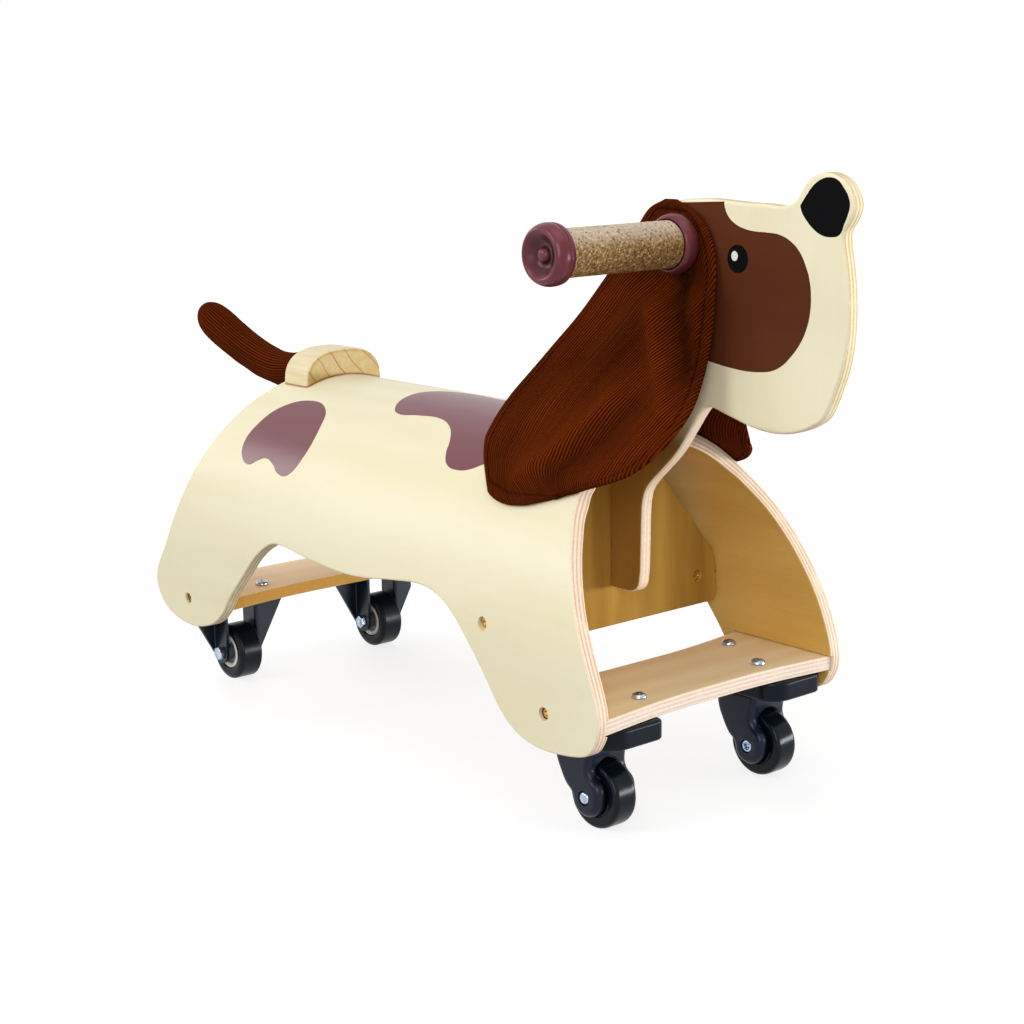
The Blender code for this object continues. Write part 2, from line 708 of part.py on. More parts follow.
# Front swivel casters
def front_caster(side, hand):
    y0 = side * front_wheel_y
    top = front_board_top - board_ply - hair_gap
    bottom = top - front_plate_thick
    plate_outline = [
        (front_plate_back / mm + 6, front_plate_inner / mm, "c"),
        (front_plate_front / mm - 3, front_plate_inner / mm, "c"),
        (front_plate_front / mm, front_plate_inner / mm + 3, "c"), (front_plate_front / mm, 90, "c"),
        (front_plate_front / mm - 8, front_plate_outer / mm, "c"),
        (front_plate_back / mm + 8, front_plate_outer / mm, "c"), (front_plate_back / mm, 90, "c"),
        (front_plate_back / mm, front_plate_inner / mm + 6, "c"),
    ]
    base = plate("front_base_" + hand, plate_outline, front_plate_thick, flat, mat_black, toy, 0.0, 1)
    flip = Matrix.Scale(side, 4, (0, 1, 0))
    base.data.transform(flip)
    base.data.transform(Matrix.Translation((0, 0, top - front_plate_thick / 2)))
    weld(base.data)
    for vert in base.data.vertices:
        if vert.co.z < bottom + 1 * mm:
            vert.co.x += (kingpin_x - vert.co.x) * 0.04
            vert.co.y += (y0 - vert.co.y) * 0.05
    bevel(base, 1.2 * mm, 1, 30.0)
    base.data.materials.clear()
    base.data.materials.append(mat_black)
    pin_hole = rod("pin_hole", 4.0 * mm + run_gap, bottom - past, top + past, "Z", (kingpin_x, y0, 0), None)
    cut(base, pin_hole)
    for x, y in zip(board_screw_x, board_screw_y):
        cut(base, rod("screw_hole", 2.6 * mm, bottom - past, top + past, "Z", (x, side * y, 0), None))

    fork_top = bottom - run_gap
    # The fork leans ahead from the kingpin to the axle
    lean = (front_axle_x - kingpin_x) / mm
    axle = wheel_radius / mm
    high = fork_top / mm
    fork_outline = [
        (-18.6, high, "c"), (-18.9, high - 7), (-17.6, 45), (-14, 37), (-8, 27.6), (lean - 13.2, axle),
        (lean - 11, axle - 7.4), (lean - 4, axle - 12.6), (lean + 4, axle - 12.6), (lean + 11, axle - 7.2),
        (lean + 13.4, axle + 1), (lean + 12.4, axle + 9), (15.6, 39.5), (15.4, 47), (17.4, high - 6),
        (17.6, high, "c"),
    ]
    fork = plate("front_fork_" + hand, fork_outline, 2 * fork_half, upright_xz, mat_black, toy, 1.6 * mm, 1, 0)
    fork.data.transform(Matrix.Translation((kingpin_x, y0, 0)))
    inner = fork_half - fork_cheek
    well_top = 2 * wheel_radius + 3.4 * mm
    well = box(
        "well",
        (kingpin_x - 60 * mm, y0 - inner, -10 * mm),
        (kingpin_x + 60 * mm, y0 + inner, well_top),
        cutters, None, 1.4 * mm,
    )
    cut(fork, well)
    cut(fork, rod("axle_hole", 2.2 * mm, -30 * mm, 30 * mm, "Y", (front_axle_x, y0, wheel_radius)))
    for face in (1, -1):
        sink = rod(
            "axle_sink", 4.6 * mm, fork_half - 1.6 * mm, 30 * mm, "Y",
            (0, 0, 0),
        )
        if face < 0:
            sink.data.transform(Matrix.Rotation(math.pi, 4, "Z"))
        sink.data.transform(Matrix.Translation((front_axle_x, y0, wheel_radius)))
        cut(fork, sink)
    cut(fork, rod("king_hole", 4.0 * mm + hair_gap, well_top - past, bottom + past, "Z", (kingpin_x, y0, 0)))
    fork.data.transform(Matrix.Translation((-kingpin_x, -y0, -high * mm)))
    fork.location = (kingpin_x, y0, high * mm)
    fork.data.materials.clear()
    fork.data.materials.append(mat_black)
    shade_flat_sides(fork, 35.0)

    pin_top = top - 1.0 * mm
    pin = [
        (0.0, pin_top), (6.4 * mm, pin_top), (6.4 * mm, pin_top - 2.6 * mm),
        (4.0 * mm, pin_top - 2.6 * mm), (4.0 * mm, well_top + 1.0 * mm), (0.0, well_top + 1.0 * mm),
    ]
    # The kingpin's head sits in a pocket under the board
    pocket_low = pin_top - 2.6 * mm - run_gap
    cut(base, rod("pin_pocket", 6.4 * mm + run_gap, pocket_low, top + past, "Z", (kingpin_x, y0, 0)))
    turned("kingpin_" + hand, pin, mat_zinc, toy, 16, "Z", (kingpin_x, y0, 0))
    shade_flat_sides(base, 35.0)

    half = front_wheel_half
    rim = wheel_radius
    wheel = [
        (2.15 * mm, half + 1.6 * mm), (6.6 * mm, half + 1.6 * mm), (6.8 * mm, half - 1.4 * mm),
        (13.8 * mm, half - 1.2 * mm), (15.0 * mm, half), (rim - 3.2 * mm, half), (rim, half - 3.6 * mm),
        (rim, -half + 3.6 * mm), (rim - 3.2 * mm, -half), (15.0 * mm, -half), (13.8 * mm, -half + 1.2 * mm),
        (6.8 * mm, -half + 1.4 * mm), (6.6 * mm, -half - 1.6 * mm), (2.15 * mm, -half - 1.6 * mm),
    ]
    turned("front_wheel_" + hand, wheel, mat_black, toy, 24, "Y", (front_axle_x, y0, rim))
    end = fork_half - 1.0 * mm
    pin = [
        (0.0, end), (1.4 * mm, end), (2.0 * mm, end - 0.6 * mm),
        (2.0 * mm, -end + 0.6 * mm), (1.4 * mm, -end), (0.0, -end),
    ]
    turned("front_axle_" + hand, pin, mat_zinc, toy, 14, "Y", (front_axle_x, y0, rim))


# Rear rigid casters: the right leg has its flange at the back, the left leg at the front
def rear_caster(side, hand):
    y0 = side * rear_wheel_y
    top = rear_board_top - board_ply - hair_gap
    sheet = rear_leg_sheet
    web = rear_leg_gap
    depth = web + sheet
    flank_room = arch_half_width - arch_ply - run_gap - rear_wheel_y
    reaches = {side: min(rear_plate_reach, flank_room), -side: rear_plate_reach}
    cover = box(
        "rear_fork_" + hand,
        (rear_axle_x - rear_plate_half, y0 - reaches[-1], top - sheet),
        (rear_axle_x + rear_plate_half, y0 + reaches[1], top),
        toy, None, 0.4 * mm,
    )
    high = (top - sheet / 2) / mm
    axle = wheel_radius / mm
    back = -rear_leg_back / mm
    ahead = rear_leg_front / mm
    for face in (1, -1):
        leg_line = [
            (back, high, "c"), (back, axle - 1.4, "c"), (back + 3.4, axle - 6.4), (-1.2, axle - 8.8),
            (ahead - 4.1, axle - 7.4), (ahead, axle - 1.6, "c"), (ahead, high, "c"),
        ]
        leg = plate("leg", leg_line, sheet, upright_xz, None, cutters, 0.0, 1)
        leg.data.transform(Matrix.Translation((rear_axle_x, y0 + face * (web + sheet / 2), 0)))
        cut(cover, leg, "UNION")
        foot = rear_flange_foot / mm
        inside = web / mm + 0.4
        reach = reaches[face] / mm - 0.7
        meets = foot + (reach - inside) * (high - foot) / (rear_plate_reach / mm - 0.7 - inside)
        flange_line = [
            (face * inside, high, "c"), (face * inside, foot, "c"),
            (face * reach, min(meets, high - 0.2), "c"), (face * reach, high, "c"),
        ]
        flange = plate("flange", flange_line, sheet, upright_yz, None, cutters, 0.0, 1)
        bend = rear_leg_front - sheet / 2 - 0.1 * mm if face > 0 else sheet / 2 + 0.1 * mm - rear_leg_back
        flange.data.transform(Matrix.Translation((rear_axle_x + bend, y0, 0)))
        cut(cover, flange, "UNION")
    cut(cover, rod("axle_hole", 2.9 * mm, -40 * mm, 40 * mm, "Y", (rear_axle_x, y0, wheel_radius)))
    for x, y in zip(rear_screw_x, rear_screw_y):
        cut(cover, rod("screw_hole", 2.6 * mm, top - past, top + past, "Z", (x, side * y, 0)))
    cover.data.materials.clear()
    cover.data.materials.append(mat_fork)

    half = rear_wheel_half
    rim = wheel_radius
    hub = rear_hub_radius
    tyre = [
        (hub + hair_gap, half - 0.6 * mm), (hub + 1.4 * mm, half), (rim - 3.4 * mm, half),
        (rim - 1.2 * mm, half - 1.6 * mm), (rim, half - 4.4 * mm), (rim, -half + 4.4 * mm),
        (rim - 1.2 * mm, -half + 1.6 * mm), (rim - 3.4 * mm, -half), (hub + 1.4 * mm, -half),
        (hub + hair_gap, -half + 0.6 * mm),
    ]
    turned("rear_tyre_" + hand, tyre, mat_tyre, toy, 24, "Y", (rear_axle_x, y0, rim))
    core = [
        (2.75 * mm, half + 1.6 * mm), (6.0 * mm, half + 1.6 * mm), (6.0 * mm, half - 2.2 * mm),
        (9.6 * mm, half - 2.2 * mm), (10.4 * mm, half - 0.9 * mm), (hub, half - 0.9 * mm),
        (hub, -half + 0.9 * mm), (10.4 * mm, -half + 0.9 * mm), (9.6 * mm, -half + 2.2 * mm),
        (6.0 * mm, -half + 2.2 * mm), (6.0 * mm, -half - 1.6 * mm), (2.75 * mm, -half - 1.6 * mm),
    ]
    turned("rear_hub_" + hand, core, mat_hub, toy, 20, "Y", (rear_axle_x, y0, rim))

    # The bolt's hexagon head is on the outer side, the nut on the inner
    shank = 2.6 * mm
    face_out = depth + hair_gap
    bolt = [
        (0.0, face_out + 4.0 * mm), (4.9 * mm, face_out + 4.0 * mm), (5.6 * mm, face_out + 3.4 * mm),
        (5.6 * mm, face_out), (shank, face_out), (shank, -face_out - 5.6 * mm), (0.0, -face_out - 5.6 * mm),
    ]
    made = turned("rear_bolt_" + hand, bolt, mat_zinc, toy, 18, "Y", (rear_axle_x, y0, rim), side)
    for vert in made.data.vertices:
        reach = math.hypot(vert.co.x, vert.co.z)
        if reach > 4.0 * mm:
            turn = math.atan2(vert.co.z, vert.co.x)
            sector = math.radians(60.0)
            local = (turn % sector) - sector / 2
            scale = math.cos(sector / 2) / math.cos(local)
            vert.co.x *= scale
            vert.co.z *= scale
    shade_flat_sides(made, 25.0)
    nut = [
        (shank + 0.1 * mm, -face_out), (5.4 * mm, -face_out), (5.4 * mm, -face_out - 3.6 * mm),
        (4.8 * mm, -face_out - 4.2 * mm), (shank + 0.1 * mm, -face_out - 4.2 * mm),
    ]
    made = turned("rear_nut_" + hand, nut[::-1], mat_zinc, toy, 18, "Y", (rear_axle_x, y0, rim), side)
    for vert in made.data.vertices:
        reach = math.hypot(vert.co.x, vert.co.z)
        if reach > 4.0 * mm:
            turn = math.atan2(vert.co.z, vert.co.x)
            sector = math.radians(60.0)
            local = (turn % sector) - sector / 2
            scale = math.cos(sector / 2) / math.cos(local)
            vert.co.x *= scale
            vert.co.z *= scale
    shade_flat_sides(made, 25.0)


for side, hand in ((1, "left"), (-1, "right")):
    front_caster(side, hand)
    rear_caster(side, hand)


# Pan-head screws down through the boards
def pan_screw(name, x, y, top, length, head_radius=4.8 * mm, mat=mat_zinc):
    shank = 2.0 * mm
    high = 2.6 * mm
    start = top + hair_gap
    profile = [
        (0.0, start + high), (head_radius * 0.5, start + high - 0.1 * mm),
        (head_radius * 0.86, start + high * 0.6), (head_radius, start),
        (shank, start), (shank, start - length), (0.0, start - length),
    ]
    made = turned(name, profile, mat, toy, 12, "Z", (0, 0, 0))
    made.data.transform(Matrix.Translation((x, y, 0)))
    made.data.transform(Matrix.Translation((-x, -y, -start)))
    made.location = (x, y, start)
    made.data.materials.clear()
    made.data.materials.append(mat)
    shade_flat_sides(made, 35.0)
    return made


for side, hand in ((1, "left"), (-1, "right")):
    for label, x, y in zip(("front", "back"), board_screw_x, board_screw_y):
        low = front_board_top - board_ply - past
        cut(front_board, rod("hole", 2.3 * mm, low, front_board_top + past, "Z", (x, side * y, 0)))
        pan_screw("front_screw_" + label + "_" + hand, x, side * y, front_board_top, 19 * mm)
    for label, x, y in zip(("front", "back"), rear_screw_x, rear_screw_y):
        low = rear_board_top - board_ply - past
        cut(rear_board, rod("hole", 2.3 * mm, low, rear_board_top + past, "Z", (x, side * y, 0)))
        pan_screw("rear_screw_" + label + "_" + hand, x, side * y, rear_board_top, 15 * mm)


# Side bolts into cross-dowel nuts
def side_bolt(label, x, z, nut_y, side, hand, board, nut_axis, nut_from, nut_to):
    outer = arch_half(z) - side_sink
    shell_hole = [
        (0.0, outer + 20 * mm), (side_head_radius + hair_gap, outer + 20 * mm),
        (side_head_radius + hair_gap, outer - 2.2 * mm), (side_bolt_radius + hair_gap, outer - 2.2 * mm),
        (side_bolt_radius + hair_gap, outer - 30 * mm), (0.0, outer - 30 * mm),
    ]
    tool = turned("bolt_hole", shell_hole, None, cutters, 12, "Y", (0, 0, 0), side)
    tool.data.transform(Matrix.Translation((x, 0, z)))
    cut(shell, tool)
    tool = rod("bolt_way", side_bolt_radius + hair_gap, nut_y - 2 * past, outer + past, "Y", (0, 0, 0))
    if side < 0:
        tool.data.transform(Matrix.Rotation(math.pi, 4, "Z"))
    tool.data.transform(Matrix.Translation((x, 0, z)))
    cut(board, tool)
    centre = (x, side * nut_y, 0) if nut_axis == "Z" else (0, side * nut_y, z)
    tool = rod("nut_way", nut_radius + hair_gap, nut_from, nut_to, nut_axis, centre)
    cut(board, tool)
    bolt = [
        (0.0, outer), (side_head_radius, outer), (side_head_radius, outer - 1.9 * mm),
        (side_bolt_radius, outer - 1.9 * mm), (side_bolt_radius, nut_y + nut_radius + hair_gap),
        (0.0, nut_y + nut_radius + hair_gap),
    ]
    made = turned("side_bolt_" + label + "_" + hand, bolt, mat_brass, toy, 12, "Y", (0, 0, 0), side)
    made.data.transform(Matrix.Translation((x, 0, z)))
    socket = rod("socket", 1.9 * mm, outer - 1.3 * mm, outer + 5 * mm, "Y", (0, 0, 0), None, cutters, 6)
    if side < 0:
        socket.data.transform(Matrix.Rotation(math.pi, 4, "Z"))
    socket.data.transform(Matrix.Translation((x, 0, z)))
    cut(made, socket)
    made.data.transform(Matrix.Translation((-x, -side * outer, -z)))
    made.location = (x, side * outer, z)
    made.data.materials.clear()
    made.data.materials.append(mat_brass)
    shade_flat_sides(made, 35.0)


for side, hand in ((1, "left"), (-1, "right")):
    mid = front_board_top - board_ply / 2
    nut_y = arch_half_width - nut_inset
    side_bolt("front", front_bolt_x, mid, nut_y, side, hand, front_board, "Z", mid - past, mid + 3.4 * mm)
    nut = turned(
        "barrel_nut_front_" + hand,
        [(0.0, 3.0 * mm), (nut_radius, 3.0 * mm), (nut_radius, -4.4 * mm), (0.0, -4.4 * mm)],
        mat_zinc, toy, 12, "Z", (0, 0, 0),
    )
    nut.location = (front_bolt_x, side * nut_y, mid)
    mid = rear_board_top - board_ply / 2
    side_bolt("rear", rear_bolt_x, mid, nut_y, side, hand, rear_board, "Z", mid - past, mid + 3.4 * mm)
    nut = turned(
        "barrel_nut_rear_" + hand,
        [(0.0, 3.0 * mm), (nut_radius, 3.0 * mm), (nut_radius, -4.4 * mm), (0.0, -4.4 * mm)],
        mat_zinc, toy, 12, "Z", (0, 0, 0),
    )
    nut.location = (rear_bolt_x, side * nut_y, mid)
    mid_x = bulkhead_face - bulkhead_ply / 2
    z = mid_bolt_z
    nut_y = arch_half_width - bulkhead_nut_inset
    side_bolt("mid", mid_x, z, nut_y, side, hand, bulkhead, "X", mid_x - 3.6 * mm, mid_x + past)
    nut = turned(
        "barrel_nut_mid_" + hand,
        [(0.0, 4.6 * mm), (nut_radius, 4.6 * mm), (nut_radius, -3.2 * mm), (0.0, -3.2 * mm)],
        mat_brass, toy, 12, "X", (mid_x, side * nut_y, z),
    )
    slot = box(
        "nut_slot",
        (3.6 * mm, -3 * mm, -0.5 * mm),
        (9 * mm, 3 * mm, 0.5 * mm),
    )
    slot.location = nut.location
    cut(nut, slot)
    nut.data.materials.clear()
    nut.data.materials.append(mat_brass)
    shade_flat_sides(nut, 35.0)

# Screws from behind the bulkhead into the neck
for label, z in zip(("low", "high"), neck_screw_z):
    back = bulkhead_face - bulkhead_ply
    tip = bulkhead_face + neck_screw_bite
    for body in (bulkhead, head):
        cut(body, rod("neck_hole", 2.6 * mm, back - past, tip + 3 * mm, "X", (0, 0, z)))
    start = back - hair_gap
    profile = [
        (0.0, start - 2.6 * mm), (2.4 * mm, start - 2.4 * mm), (4.6 * mm, start - 1.2 * mm), (4.8 * mm, start),
        (2.2 * mm, start), (2.2 * mm, tip), (0.0, tip + 2.0 * mm),
    ]
    made = turned("neck_screw_" + label, profile, mat_zinc, toy, 12, "X", (0, 0, 0))
    made.data.transform(Matrix.Translation((-start, 0, 0)))
    made.location = (start, 0, z)

# A screw from under the arch into the block
block_mid = (block_front + block_back) / 2
seat = arch_top - arch_ply - 1.6 * mm
tip = arch_top + block_rise - 6.4 * mm
for body in (shell, block):
    cut(body, rod("block_hole", 2.6 * mm, seat - past, tip + 1.4 * mm, "Z", (block_mid, 0, 0)))
profile = [
    (0.0, tip), (2.2 * mm, tip - 1.6 * mm), (2.2 * mm, seat + 1.2 * mm), (4.6 * mm, seat + 1.2 * mm),
    (4.4 * mm, seat), (2.4 * mm, seat - 1.2 * mm), (0.0, seat - 1.3 * mm),
]
block_screw = turned("block_screw", profile, mat_zinc, toy, 12, "Z", (0, 0, 0))
block_screw.data.transform(Matrix.Translation((0, 0, -seat)))
block_screw.location = (block_mid, 0, seat)

for body in (shell, bulkhead, front_board, rear_board):
    body.data.materials.clear()
shell.data.materials.append(mat_arch)
for body in (bulkhead, front_board, rear_board):
    body.data.materials.append(mat_board)
head.data.materials.clear()
head.data.materials.append(mat_head)
block.data.materials.clear()
block.data.materials.append(mat_pine)
shade_flat_sides(shell, 35.0)
shade_flat_sides(head, 30.0)
shade_flat_sides(block, 35.0)
for body in (bulkhead, front_board, rear_board):
    shade_flat_sides(body, 30.0)

# Swivel and wheels hang from their forks; the whole toy moves to its frame
for body in toy.objects:
    body.location.x += frame_shift
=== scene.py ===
# Ride-on plywood dog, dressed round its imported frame. Metres, +X ahead, +Y left, +Z up.
import math
import random

import bmesh
import bpy
from mathutils import Matrix, Vector, noise


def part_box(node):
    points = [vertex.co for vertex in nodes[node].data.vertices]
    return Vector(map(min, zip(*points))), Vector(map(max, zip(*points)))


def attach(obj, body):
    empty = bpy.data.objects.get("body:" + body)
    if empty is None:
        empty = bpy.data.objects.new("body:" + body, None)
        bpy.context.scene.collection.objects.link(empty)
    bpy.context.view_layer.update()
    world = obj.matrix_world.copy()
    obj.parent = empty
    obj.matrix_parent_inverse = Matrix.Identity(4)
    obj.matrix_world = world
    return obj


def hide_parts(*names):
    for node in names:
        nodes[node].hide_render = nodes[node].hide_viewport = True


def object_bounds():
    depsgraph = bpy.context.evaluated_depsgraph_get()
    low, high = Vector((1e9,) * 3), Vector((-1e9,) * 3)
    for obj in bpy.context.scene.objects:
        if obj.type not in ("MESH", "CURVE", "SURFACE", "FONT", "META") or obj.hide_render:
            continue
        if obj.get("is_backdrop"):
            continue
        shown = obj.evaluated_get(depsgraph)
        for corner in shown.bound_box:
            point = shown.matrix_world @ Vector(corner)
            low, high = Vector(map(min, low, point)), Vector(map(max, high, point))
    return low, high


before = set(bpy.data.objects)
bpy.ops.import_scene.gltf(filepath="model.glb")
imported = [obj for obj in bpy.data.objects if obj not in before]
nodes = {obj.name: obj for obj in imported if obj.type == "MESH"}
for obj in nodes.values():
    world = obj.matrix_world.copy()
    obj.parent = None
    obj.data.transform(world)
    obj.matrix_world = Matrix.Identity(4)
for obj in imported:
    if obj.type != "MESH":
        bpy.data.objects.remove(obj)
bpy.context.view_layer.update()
mm = 0.001
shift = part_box("bulkhead")[1].x - 152.4 * mm     # drawn places are from mid-wheelbase
random.seed(7)
print("frame loaded,", len(nodes), "nodes")


# Small helpers
def pickOnly(obj):
    bpy.ops.object.select_all(action="DESELECT")
    obj.select_set(True)
    bpy.context.view_layer.objects.active = obj


def applyModifiers(obj):
    pickOnly(obj)
    for modifier in list(obj.modifiers):
        bpy.ops.object.modifier_apply(modifier=modifier.name)


def settle(obj, turn=(0, 0, 0), move=(0, 0, 0)):
    # turn and move a finished piece, then put its place in its mesh
    pickOnly(obj)
    obj.rotation_euler = [math.radians(a) for a in turn]
    obj.location = Vector(obj.location) + Vector(move)
    bpy.ops.object.transform_apply(location=True, rotation=True, scale=True)


def smooth(obj, angle):
    pickOnly(obj)
    bpy.ops.object.shade_smooth_by_angle(angle=math.radians(angle))


def evenNormals(obj, angle):
    smooth(obj, angle)
    step = obj.modifiers.new("normals", "WEIGHTED_NORMAL")
    step.keep_sharp = True
    applyModifiers(obj)


def cleanFaces(obj):
    pickOnly(obj)
    bpy.ops.object.mode_set(mode="EDIT")
    bpy.ops.mesh.select_all(action="SELECT")
    bpy.ops.mesh.remove_doubles(threshold=1e-6)
    bpy.ops.mesh.normals_make_consistent(inside=False)
    bpy.ops.object.mode_set(mode="OBJECT")


def dress(obj, name, material, body, stands=()):
    obj.name = name
    obj.data.name = name
    obj.data.materials.clear()
    obj.data.materials.append(material)
    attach(obj, body)
    if stands:
        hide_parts(*stands)
    return obj


def bevelEdges(obj, width, angle):
    step = obj.modifiers.new("edges", "BEVEL")
    step.width = width
    step.segments = 2
    step.limit_method = "ANGLE"
    step.angle_limit = math.radians(angle)
    applyModifiers(obj)


def cutAway(obj, tool, how="DIFFERENCE"):
    step = obj.modifiers.new("cut", "BOOLEAN")
    step.operation = how
    step.solver = "EXACT"
    step.object = tool
    applyModifiers(obj)
    bpy.data.objects.remove(tool, do_unlink=True)


def turnOnLathe(profile, steps=48, ring=False):
    # profile is (radius, height) from the bottom up; ring leaves the middle open
    first = profile[0]
    bpy.ops.object.select_all(action="DESELECT")
    bpy.ops.mesh.primitive_circle_add(vertices=steps, radius=first[0], location=(0, 0, first[1]),
                                      fill_type="NOTHING" if ring else "NGON")
    obj = bpy.context.active_object
    bpy.ops.object.transform_apply(location=True, rotation=True, scale=True)
    bpy.ops.object.mode_set(mode="EDIT")
    bpy.ops.mesh.select_all(action="SELECT")
    extrude = bpy.ops.mesh.extrude_edges_move if ring else bpy.ops.mesh.extrude_region_move
    last = first
    for spot in list(profile[1:]) + ([first] if ring else []):
        extrude(TRANSFORM_OT_translate={"value": (0, 0, spot[1] - last[1])})
        grow = spot[0] / last[0]
        bpy.ops.transform.resize(value=(grow, grow, 1), center_override=(0, 0, spot[1]))
        last = spot
    bpy.ops.object.mode_set(mode="OBJECT")
    cleanFaces(obj)
    return obj


def drill(radius, low, high, steps=40):
    # a round cutter about Z, in drawn millimetres
    return turnOnLathe([(radius * mm, low * mm), (radius * mm, high * mm)], steps)


def cutBlock(place, size):
    # a square cutter, sharp all round
    bpy.ops.object.select_all(action="DESELECT")
    bpy.ops.mesh.primitive_cube_add(size=1, location=place)
    tool = bpy.context.active_object
    tool.scale = size
    return tool


def alongY(obj, side, x, z):
    # a piece turned about Z is laid with its top to the side, at a drawn place
    settle(obj, (90 if side < 0 else -90, 0, 0), (x * mm + shift, 0, z * mm))


def linked(name, data):
    obj = bpy.data.objects.new(name, data)
    bpy.context.scene.collection.objects.link(obj)
    return obj


def twin(obj, move=(0, 0, 0), flip=False):
    pickOnly(obj)
    bpy.ops.object.duplicate(linked=False)
    made = bpy.context.active_object
    if flip:
        made.scale.y = -1
    settle(made, move=move)
    if flip:
        cleanFaces(made)
    return made


def roundCorners(points, steps=4, closed=False):
    # points are (u, v) or (u, v, radius); each radius becomes a short arc, at most half of a side
    made = []
    most = 0.48
    for i, spot in enumerate(points):
        here = Vector(spot[:2])
        if len(spot) < 3 or (not closed and i in (0, len(points) - 1)):
            made.append(tuple(here))
            continue
        back = Vector(points[i - 1][:2]) - here
        ahead = Vector(points[(i + 1) % len(points)][:2]) - here
        a = here + back.normalized() * min(spot[2], back.length * most)
        b = here + ahead.normalized() * min(spot[2], ahead.length * most)
        for k in range(steps + 1):
            t = k / steps
            made.append(tuple(a * (1 - t) ** 2 + here * 2 * t * (1 - t) + b * t * t))
    return made


def flatShape(points, thick, bevelBy=0.0, detail=8, rings=2):
    # a filled outline; points are (u, v) or (u, v, "c") at a corner
    curve = bpy.data.curves.new("shape", "CURVE")
    curve.dimensions = "2D"
    curve.fill_mode = "BOTH"
    curve.extrude = thick / 2 - bevelBy
    curve.bevel_depth = bevelBy
    curve.bevel_resolution = rings
    curve.offset = -bevelBy
    curve.resolution_u = detail
    spline = curve.splines.new("BEZIER")
    spline.bezier_points.add(len(points) - 1)
    for knot, spot in zip(spline.bezier_points, points):
        knot.co = (spot[0], spot[1], 0.0)
        knot.handle_left_type = knot.handle_right_type = "VECTOR" if len(spot) > 2 else "AUTO"
    spline.use_cyclic_u = True
    pickOnly(linked("shape", curve))
    bpy.ops.object.convert(target="MESH")
    obj = bpy.context.active_object
    cleanFaces(obj)
    return obj


def smoothLine(points, share):
    # a smooth path through the points, share runs from 0 to 1
    spot = min(max(share, 0.0), 1.0) * (len(points) - 1)
    i = min(int(spot), len(points) - 2)
    t = spot - i
    p1 = Vector(points[i])
    p2 = Vector(points[i + 1])
    p0 = Vector(points[i - 1]) if i > 0 else p1 * 2 - p2
    p3 = Vector(points[i + 2]) if i + 2 < len(points) else p2 * 2 - p1
    return 0.5 * (
        2 * p1 + (p2 - p0) * t + (2 * p0 - 5 * p1 + 4 * p2 - p3) * t * t
        + (3 * p1 - p0 - 3 * p2 + p3) * t * t * t
    )


# Node helpers
def toLinear(r, g, b):
    def one(c):
        c = c / 255
        return c / 12.92 if c <= 0.04045 else ((c + 0.055) / 1.055) ** 2.4
    return (one(r), one(g), one(b), 1.0)


def addNode(tree, kind, values=None, **settings):
    # values are sockets or plain values for the node's inputs, settings are its own options
    made = tree.nodes.new(kind)
    for key, value in settings.items():
        setattr(made, key, value)
    for key, value in (values or {}).items():
        if isinstance(value, bpy.types.NodeSocket):
            tree.links.new(value, made.inputs[key])
        else:
            made.inputs[key].default_value = value
    return made


def calc(tree, what, a, b=0.0, c=0.0, clamp=False):
    return addNode(tree, "ShaderNodeMath", {0: a, 1: b, 2: c}, operation=what, use_clamp=clamp).outputs[0]


def sway(tree, value, amount, base):
    # the base, moved up and down by a value that lies about a half
    return calc(tree, "MULTIPLY_ADD", calc(tree, "SUBTRACT", value, 0.5), amount, base)


def opposite(tree, value):
    return calc(tree, "SUBTRACT", 1.0, value)


def reachOf(tree, a, b):
    # how far the point (a, b) is from the middle
    return calc(tree, "SQRT", calc(tree, "ADD", calc(tree, "MULTIPLY", a, a), calc(tree, "MULTIPLY", b, b)))


def ease(tree, value, low, high):
    return addNode(tree, "ShaderNodeMapRange", {"Value": value, "From Min": low, "From Max": high},
                   interpolation_type="SMOOTHSTEP").outputs[0]


def blendColour(tree, factor, a, b, how="MIX"):
    mixed = addNode(tree, "ShaderNodeMix", {0: factor, 6: a, 7: b}, data_type="RGBA", blend_type=how)
    return mixed.outputs[2]


def greyOf(tree, value):
    return addNode(tree, "ShaderNodeCombineColor", {0: value, 1: value, 2: value}).outputs[0]


def attributeOf(tree, name):
    return addNode(tree, "ShaderNodeAttribute", attribute_name=name).outputs["Fac"]


def stretched(tree, vector, scale):
    return addNode(tree, "ShaderNodeMapping", {"Vector": vector, "Scale": scale}).outputs[0]


def noiseOn(tree, vector, scale=1.0, detail=2.0, extra=None, flat=False):
    values = {"Vector": vector, "Scale": scale, "Detail": detail}
    values.update(extra or {})
    return addNode(tree, "ShaderNodeTexNoise", values, noise_dimensions="2D" if flat else "3D").outputs[0]


def lotOf(tree, number):
    # one random value for each whole number
    return addNode(tree, "ShaderNodeTexWhiteNoise", {"W": number}, noise_dimensions="1D").outputs["Value"]


def newGroup(name, inputs, outputs):
    tree = bpy.data.node_groups.new(name, "ShaderNodeTree")
    for label, kind, value in inputs:
        socket = tree.interface.new_socket(label, in_out="INPUT", socket_type=kind)
        if value is not None:
            socket.default_value = value
    for label, kind in outputs:
        tree.interface.new_socket(label, in_out="OUTPUT", socket_type=kind)
    return tree, tree.nodes.new("NodeGroupInput"), tree.nodes.new("NodeGroupOutput")


def useGroup(tree, group, values):
    return addNode(tree, "ShaderNodeGroup", values, node_tree=group)


shaderSockets = {
    "colour": "Base Color", "rough": "Roughness", "metal": "Metallic", "specular": "Specular IOR Level",
    "glossTint": "Specular Tint", "coat": "Coat Weight", "coatRough": "Coat Roughness",
    "sheen": "Sheen Weight", "sheenRough": "Sheen Roughness", "sheenTint": "Sheen Tint",
}


